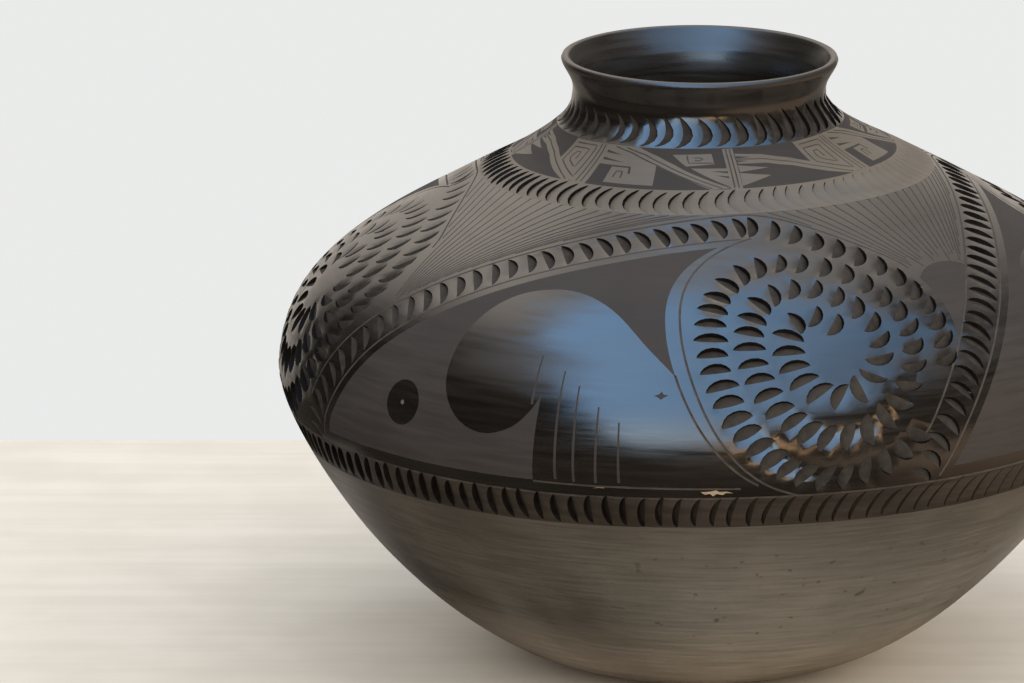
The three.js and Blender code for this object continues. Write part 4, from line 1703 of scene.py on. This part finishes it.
class Jar:
    """The whole jar: carves and paints the skin once, then divides it into coils."""

    SEED = 11
    TURNS = (0.0, 87.5, 180.0, 270.0)
    BELLY_LINE = 158.3
    SOOT_LINE = 144.8
    COLLAR_BAND = (283.8, 298.0)
    LIP_PAINT = 0.6
    FANS = ((20.0, (39.4, 226.0)), (16.0, (39.4, 226.0)), (12.0, (39.4, 226.0)), (5.0, (37.2, 211.0)))
    MARK_STEP = 1.0
    CHIPS = (
        ((-14.6, 161.7), (-13.9, 162.2), (-13.1, 162.1), (-13.6, 162.9)),
        ((-11.8, 162.6), (-10.6, 163.2), (-11.5, 163.1)),
        ((-1.7, 161.2), (-1.2, 160.1), (-0.6, 160.5), (-0.2, 159.4), (0.2, 160.4), (0.9, 159.9),
         (1.3, 160.7), (2.2, 160.5), (1.4, 161.3), (0.5, 161.2), (0.1, 161.9), (-0.6, 161.4)),
    )
    SMUDGE = (
        (-8.1, 195.9), (-7.5, 196.4), (-7.2, 197.5), (-6.9, 196.4), (-6.3, 196.1), (-6.8, 195.4),
        (-7.2, 194.5), (-7.6, 195.3))
    BELLY_GROOVE = (0.8, 0.35, 3.0)
    GROOVE_SPAN = 45
    GROOVE_POINTS = 20
    BANDS = (
        Band(count=164, s=151.8, heading=173, length=13.2, width=2.3, depth=1.9, ramp=2.5, bow=0.3,
             heel=0.5, wall_run=0.7, blunt=0.5, sway=(13, -20)),
        Band(count=96, s=290.6, heading=184, length=13.2, width=3.0, depth=1.1, ramp=2.6, bow=1.2,
             heel=0.3),
        Band(count=48, s=326.0, heading=-14, length=13.0, width=3.6, depth=1.4, ramp=2.4, bow=2.0),
    )
    ROWS = ((-47, 140, 5.5), (144, 318, 3.6), (318, 334, 3.0))
    LIP_ROWS = (334.5, 0.5, 1.5)

    def build(self) -> list[bpy.types.Object]:
        """Makes every piece of the jar.

        Returns:
            The objects, from the base to the rim.
        """
        wall = Wall()
        relief = Relief(wall)
        dice = random.Random(self.SEED)
        self.decorate(relief, dice)
        for band in self.BANDS:
            band.carve(relief, dice)
        seams = [coil.end for coil in COILS[:-1]]
        for s in (*seams, self.SOOT_LINE, self.COLLAR_BAND[0], wall.lip_end):
            relief.add_ring(s)
        start, inset, gap = self.LIP_ROWS
        relief.add_ground((*self.ROWS, (start, wall.lip_end - inset, gap)))
        skin = relief.mesh()
        LOG.info("skin: %d vertices, %d triangles, %d cuts", len(skin.s), len(skin.tris), len(relief.gouges))
        materials = [CLAY[finish].material() for finish in Finish]
        return [coil.build(skin, materials) for coil in COILS]

    def decorate(self, relief: Relief, dice: random.Random) -> None:
        """Paints the zones, panels and collar, and incises and carves the four units.

        Args:
            relief: surface to decorate.
            dice: source of the hand's small differences.
        """
        relief.add_zone(-math.inf, self.BELLY_LINE, Finish.BELT)
        relief.add_zone(-math.inf, self.SOOT_LINE, Finish.SMOKED)
        # The upper carved band takes the painted sheen in place of its reflection.
        relief.add_zone(*self.COLLAR_BAND, Finish.SATIN)
        relief.add_zone(relief.wall.length - self.LIP_PAINT, math.inf, Finish.INSIDE)
        collar = Collar()
        collar.ground(relief)
        following = self.TURNS[1:] + (self.TURNS[0] + 360,)
        whorls = [
            Whorl(turn=a, wall=relief.wall, next_turn=b - a, fan_start=start, fan_focus=focus)
            for a, b, (start, focus) in zip(self.TURNS, following, self.FANS)
        ]
        for whorl, quarter in zip(whorls, range(0, 360, 360 // UNITS)):
            Panel().paint(relief, whorl)
            collar.paint(relief, float(quarter))
            whorl.incise(relief, dice)
            for start in (quarter, quarter + self.GROOVE_SPAN):
                az = np.linspace(start, start + self.GROOVE_SPAN, self.GROOVE_POINTS)
                relief.add_groove(az, np.full(len(az), self.BELLY_LINE), *self.BELLY_GROOVE)
        for chip in self.CHIPS:
            relief.add_patch(chip, Finish.CHIP, self.MARK_STEP)
        relief.add_patch(self.SMUDGE, Finish.MATTE, self.MARK_STEP)
        for whorl in whorls:
            whorl.carve(relief, dice)


@dataclass(frozen=True)
class Surroundings:
    """What the burnished clay reflects: sky between dark trees in front, and a pale wall behind.

    Spans are the starts and ends of smooth steps over a part of the direction.
    """

    night: Colour = (0.022, 0.018, 0.015)
    tree_noise: Spot = (5.0, 5.0)
    tree_side: float = 0.5
    tree_top: float = 0.25
    tree_overhead: float = 0.2
    tree_edge: float = 0.08
    left_sky: tuple[Colour, Colour] = ((1.5, 1.85, 2.15), (0.74, 1.3, 2.1))
    left_sky_span: Spot = (0.0, 0.55)
    right_sky: tuple[Colour, Colour] = ((0.24, 0.28, 0.32), (0.30, 0.50, 0.78))
    right_sky_span: Spot = (0.3, 0.7)
    sky_span: Spot = (-0.45, 0.75)
    left_tree: Spot = (-0.58, -0.44)
    right_tree: Spot = (0.78, 0.62)
    right_rise: tuple[float, ...] = (0.0, 0.45, 0.0, 0.36)
    left_rise: tuple[float, ...] = (-0.3, -0.6, 0.0, 0.28)
    rise_span: Spot = (-0.02, 0.06)
    overhead_span: Spot = (0.81, 0.90)
    glow: Colour = (1.7, 1.0, 0.5)
    glow_sides: tuple[Spot, Spot] = ((-0.02, 0.12), (0.5, 0.3))
    glow_strip: tuple[Spot, Spot] = ((-0.07, -0.01), (0.16, 0.06))
    haze: Colour = (0.36, 0.33, 0.31)
    haze_span: Spot = (0.45, 0.8)
    wall: tuple[Colour, Colour] = ((1.1, 0.985, 0.865), (0.17, 0.153, 0.135))
    wall_middle: float = 0.06
    wall_span: Spot = (0.25, 0.65)
    wall_shade: tuple[float, ...] = (0.15, 0.65, 0.36, 0.0)
    wall_end: Spot = (-0.6, -0.85)
    below: Colour = (0.24, 0.21, 0.175)
    below_span: Spot = (-0.1, -0.35)
    left_bend: tuple[float, ...] = (-0.2, -0.55, 0.0, 0.34)
    right_bend: tuple[float, ...] = (0.15, 0.5, 0.0, 0.12)
    edge_shade: tuple[float, ...] = (0.38, 0.66, 0.42, 0.0)
    edge_span: Spot = (0.31, 0.38)

    def view(self, graph: Graph, where: Socket) -> Socket:
        """Joins the front and the back.

        Args:
            graph: node tree of the world.
            where: direction.

        Returns:
            The colour seen in that direction.
        """
        x, y, _ = graph.parts(where)
        trees = graph.maths("SUBTRACT", graph.noise(where, *self.tree_noise), 0.5)
        bend = graph.maths("ADD", graph.step(x, *self.left_bend), graph.step(x, *self.right_bend))
        edge = graph.total((y, 1.0), (bend, 1.0), (trees, self.tree_edge))
        dim = graph.mix(graph.step(edge, *self.edge_shade), self.back(graph, where), self.night)
        return graph.mix(graph.step(edge, *self.edge_span), self.front(graph, where, trees), dim)

    def front(self, graph: Graph, where: Socket, trees: Socket) -> Socket:
        """Gives the sky, the trees beside and below it, and a low glow.

        Args:
            graph: node tree of the world.
            where: direction.
            trees: uneven edge of the trees.

        Returns:
            The colour seen in that direction.
        """
        x, _, z = graph.parts(where)
        side = graph.total((x, 1.0), (trees, self.tree_side))
        left = graph.mix(graph.step(z, *self.left_sky_span), *self.left_sky)
        right = graph.mix(graph.step(z, *self.right_sky_span), *self.right_sky)
        sky = graph.mix(graph.step(side, *self.sky_span), left, right)
        rise = graph.maths("ADD", graph.step(x, *self.right_rise), graph.step(x, *self.left_rise))
        height = graph.total((z, 1.0), (rise, -1.0), (trees, self.tree_top))
        window = graph.both(graph.step(side, *self.right_tree), graph.step(height, *self.rise_span))
        overhead = graph.step(graph.total((z, 1.0), (trees, self.tree_overhead)), *self.overhead_span)
        opening = graph.both(
            graph.step(side, *self.left_tree), graph.maths("MAXIMUM", window, overhead))
        across, strip = (
            graph.both(*(graph.step(part, *span) for span in spans))
            for part, spans in ((x, self.glow_sides), (z, self.glow_strip)))
        haze = graph.mix(graph.step(z, *self.haze_span), self.night, self.haze)
        ground = graph.mix(graph.both(across, strip), haze, self.glow)
        return graph.mix(opening, ground, sky)

    def back(self, graph: Graph, where: Socket) -> Socket:
        """Gives the pale wall, darker at its ends and upwards, and what lies below it.

        Args:
            graph: node tree of the world.
            where: direction.

        Returns:
            The colour seen in that direction.
        """
        x, _, z = graph.parts(where)
        apart = graph.maths("ABSOLUTE", graph.maths("ADD", x, self.wall_middle))
        wall = graph.mix(graph.step(apart, *self.wall_span), *self.wall)
        shaded = graph.mix(graph.step(z, *self.wall_shade), wall, self.night)
        faded = graph.mix(graph.step(x, *self.wall_end), shaded, self.night)
        return graph.mix(graph.step(z, *self.below_span), faded, self.below)


@dataclass(frozen=True)
class Studio:
    """Pale table, soft light and the camera at the angle of the photograph."""

    table_low: Spot = (-1.6, -0.75)
    table_high: Spot = (1.6, 0.30)
    table_look: ClayFinish = ClayFinish(
        "pale_table", (0.72, 0.69, 0.63), (0.80, 0.77, 0.71),
        rough=(0.6, 0.75), ior=1.4, streak=0.02, streak_scale=(3.0, 60.0, 60.0), grain=0.02, grain_scale=300,
        specular=0.0)
    bright_table: Spot = (0.06, -0.01)
    bright_reach: Spot = (0.20, 0.28)
    dark_table: tuple[Colour, Colour] = ((0.045, 0.037, 0.03), (0.27, 0.19, 0.135))
    dark_span: Spot = (0.05, 0.35)
    dome_sides: tuple[Colour, Colour] = ((0.2, 0.18, 0.17), (2.05, 1.68, 1.28))
    dome_turn: Spot = (0.85, -0.55)
    dome_span: Spot = (-0.5, 0.7)
    dome_back: Colour = (0.4, 0.385, 0.37)
    dome_back_span: Spot = (0.1, 0.7)
    dome_top: Colour = (1.27, 1.27, 1.27)
    dome_top_span: Spot = (0.0, 0.9)
    backdrop: Colour = (0.82, 0.83, 0.82)
    camera_at: Triple = (-0.0714, -1.8518, 0.5827)
    camera_pitch: float = 75.98
    lens: float = 175.8
    sensor: float = 36.0

    def build(self) -> None:
        """Makes the table, the world light and the camera."""
        self.table()
        self.light()
        self.camera()

    def table(self) -> None:
        """Makes the pale table top."""
        (x0, y0), (x1, y1) = self.table_low, self.table_high
        mesh = bpy.data.meshes.new("table_top")
        mesh.from_pydata([(x0, y0, 0), (x1, y0, 0), (x1, y1, 0), (x0, y1, 0)], [], [(0, 1, 2, 3)])
        floor = bpy.data.objects.new("table_top", mesh)
        bpy.context.scene.collection.objects.link(floor)
        made = self.table_look.material()
        self.shade_far(made)
        mesh.materials.append(made)

    def shade_far(self, material: bpy.types.Material) -> None:
        """Lets reflections see the pale table only near and behind the jar, and a dark one elsewhere.

        Args:
            material: material of the table.
        """
        graph = Graph(material.node_tree)
        shader = graph.nodes["Principled BSDF"]
        colour = shader.inputs["Base Color"].links[0].from_socket
        where = graph.add("TexCoord").outputs["Object"]
        parts, reach = graph.parts(where), graph.fill("VectorMath", where)
        reach.operation = "LENGTH"
        far = graph.maths(
            "MAXIMUM", graph.step(reach.outputs["Value"], *self.bright_reach),
            graph.step(parts["Y"], *self.bright_table))
        hidden = graph.both(far, graph.add("LightPath").outputs["Is Glossy Ray"])
        dark = graph.mix(graph.step(parts["X"], *self.dark_span), *self.dark_table)
        graph.feed(shader.inputs["Base Color"], graph.mix(hidden, colour, dark))

    def light(self) -> None:
        """Lights the jar with a soft dome, and lets reflections see its surroundings."""
        world = bpy.data.worlds.new("studio")
        bpy.context.scene.world = world
        world.use_nodes = True
        graph = Graph(world.node_tree)
        where = graph.add("TexCoord").outputs["Generated"]
        path = graph.add("LightPath").outputs
        lit = graph.mix(path["Is Glossy Ray"], self.dome(graph, where), Surroundings().view(graph, where))
        shown = graph.mix(path["Is Camera Ray"], lit, self.backdrop)
        graph.feed(graph.nodes["Background"].inputs["Color"], shown)
        bpy.context.scene.view_settings.view_transform = "Standard"

    def dome(self, graph: Graph, where: Socket) -> Socket:
        """Gives the soft light that falls on the jar and the table.

        Args:
            graph: node tree of the world.
            where: direction.

        Returns:
            The colour of the light.
        """
        x, y, z = graph.parts(where)
        turned = graph.total(*zip((x, y), self.dome_turn))
        low = graph.mix(graph.step(turned, *self.dome_span), *self.dome_sides)
        back = graph.mix(graph.step(y, *self.dome_back_span), low, self.dome_back)
        return graph.mix(graph.step(z, *self.dome_top_span), back, self.dome_top)

    def camera(self) -> None:
        """Makes the camera."""
        data = bpy.data.cameras.new("camera")
        data.lens, data.sensor_width = self.lens, self.sensor
        made = bpy.data.objects.new("camera", data)
        made.location = self.camera_at
        made.rotation_euler = (math.radians(self.camera_pitch), 0, 0)
        bpy.context.scene.collection.objects.link(made)
        bpy.context.scene.camera = made


def main() -> None:
    """Builds the jar and its studio, and notes the size of the result."""
    logging.basicConfig(level=logging.INFO, format="%(name)s: %(message)s")
    for piece in Jar().build():
        LOG.info("%s: %d faces", piece.name, len(piece.data.polygons))
    Studio().build()


if __name__ == "__main__":
    main()
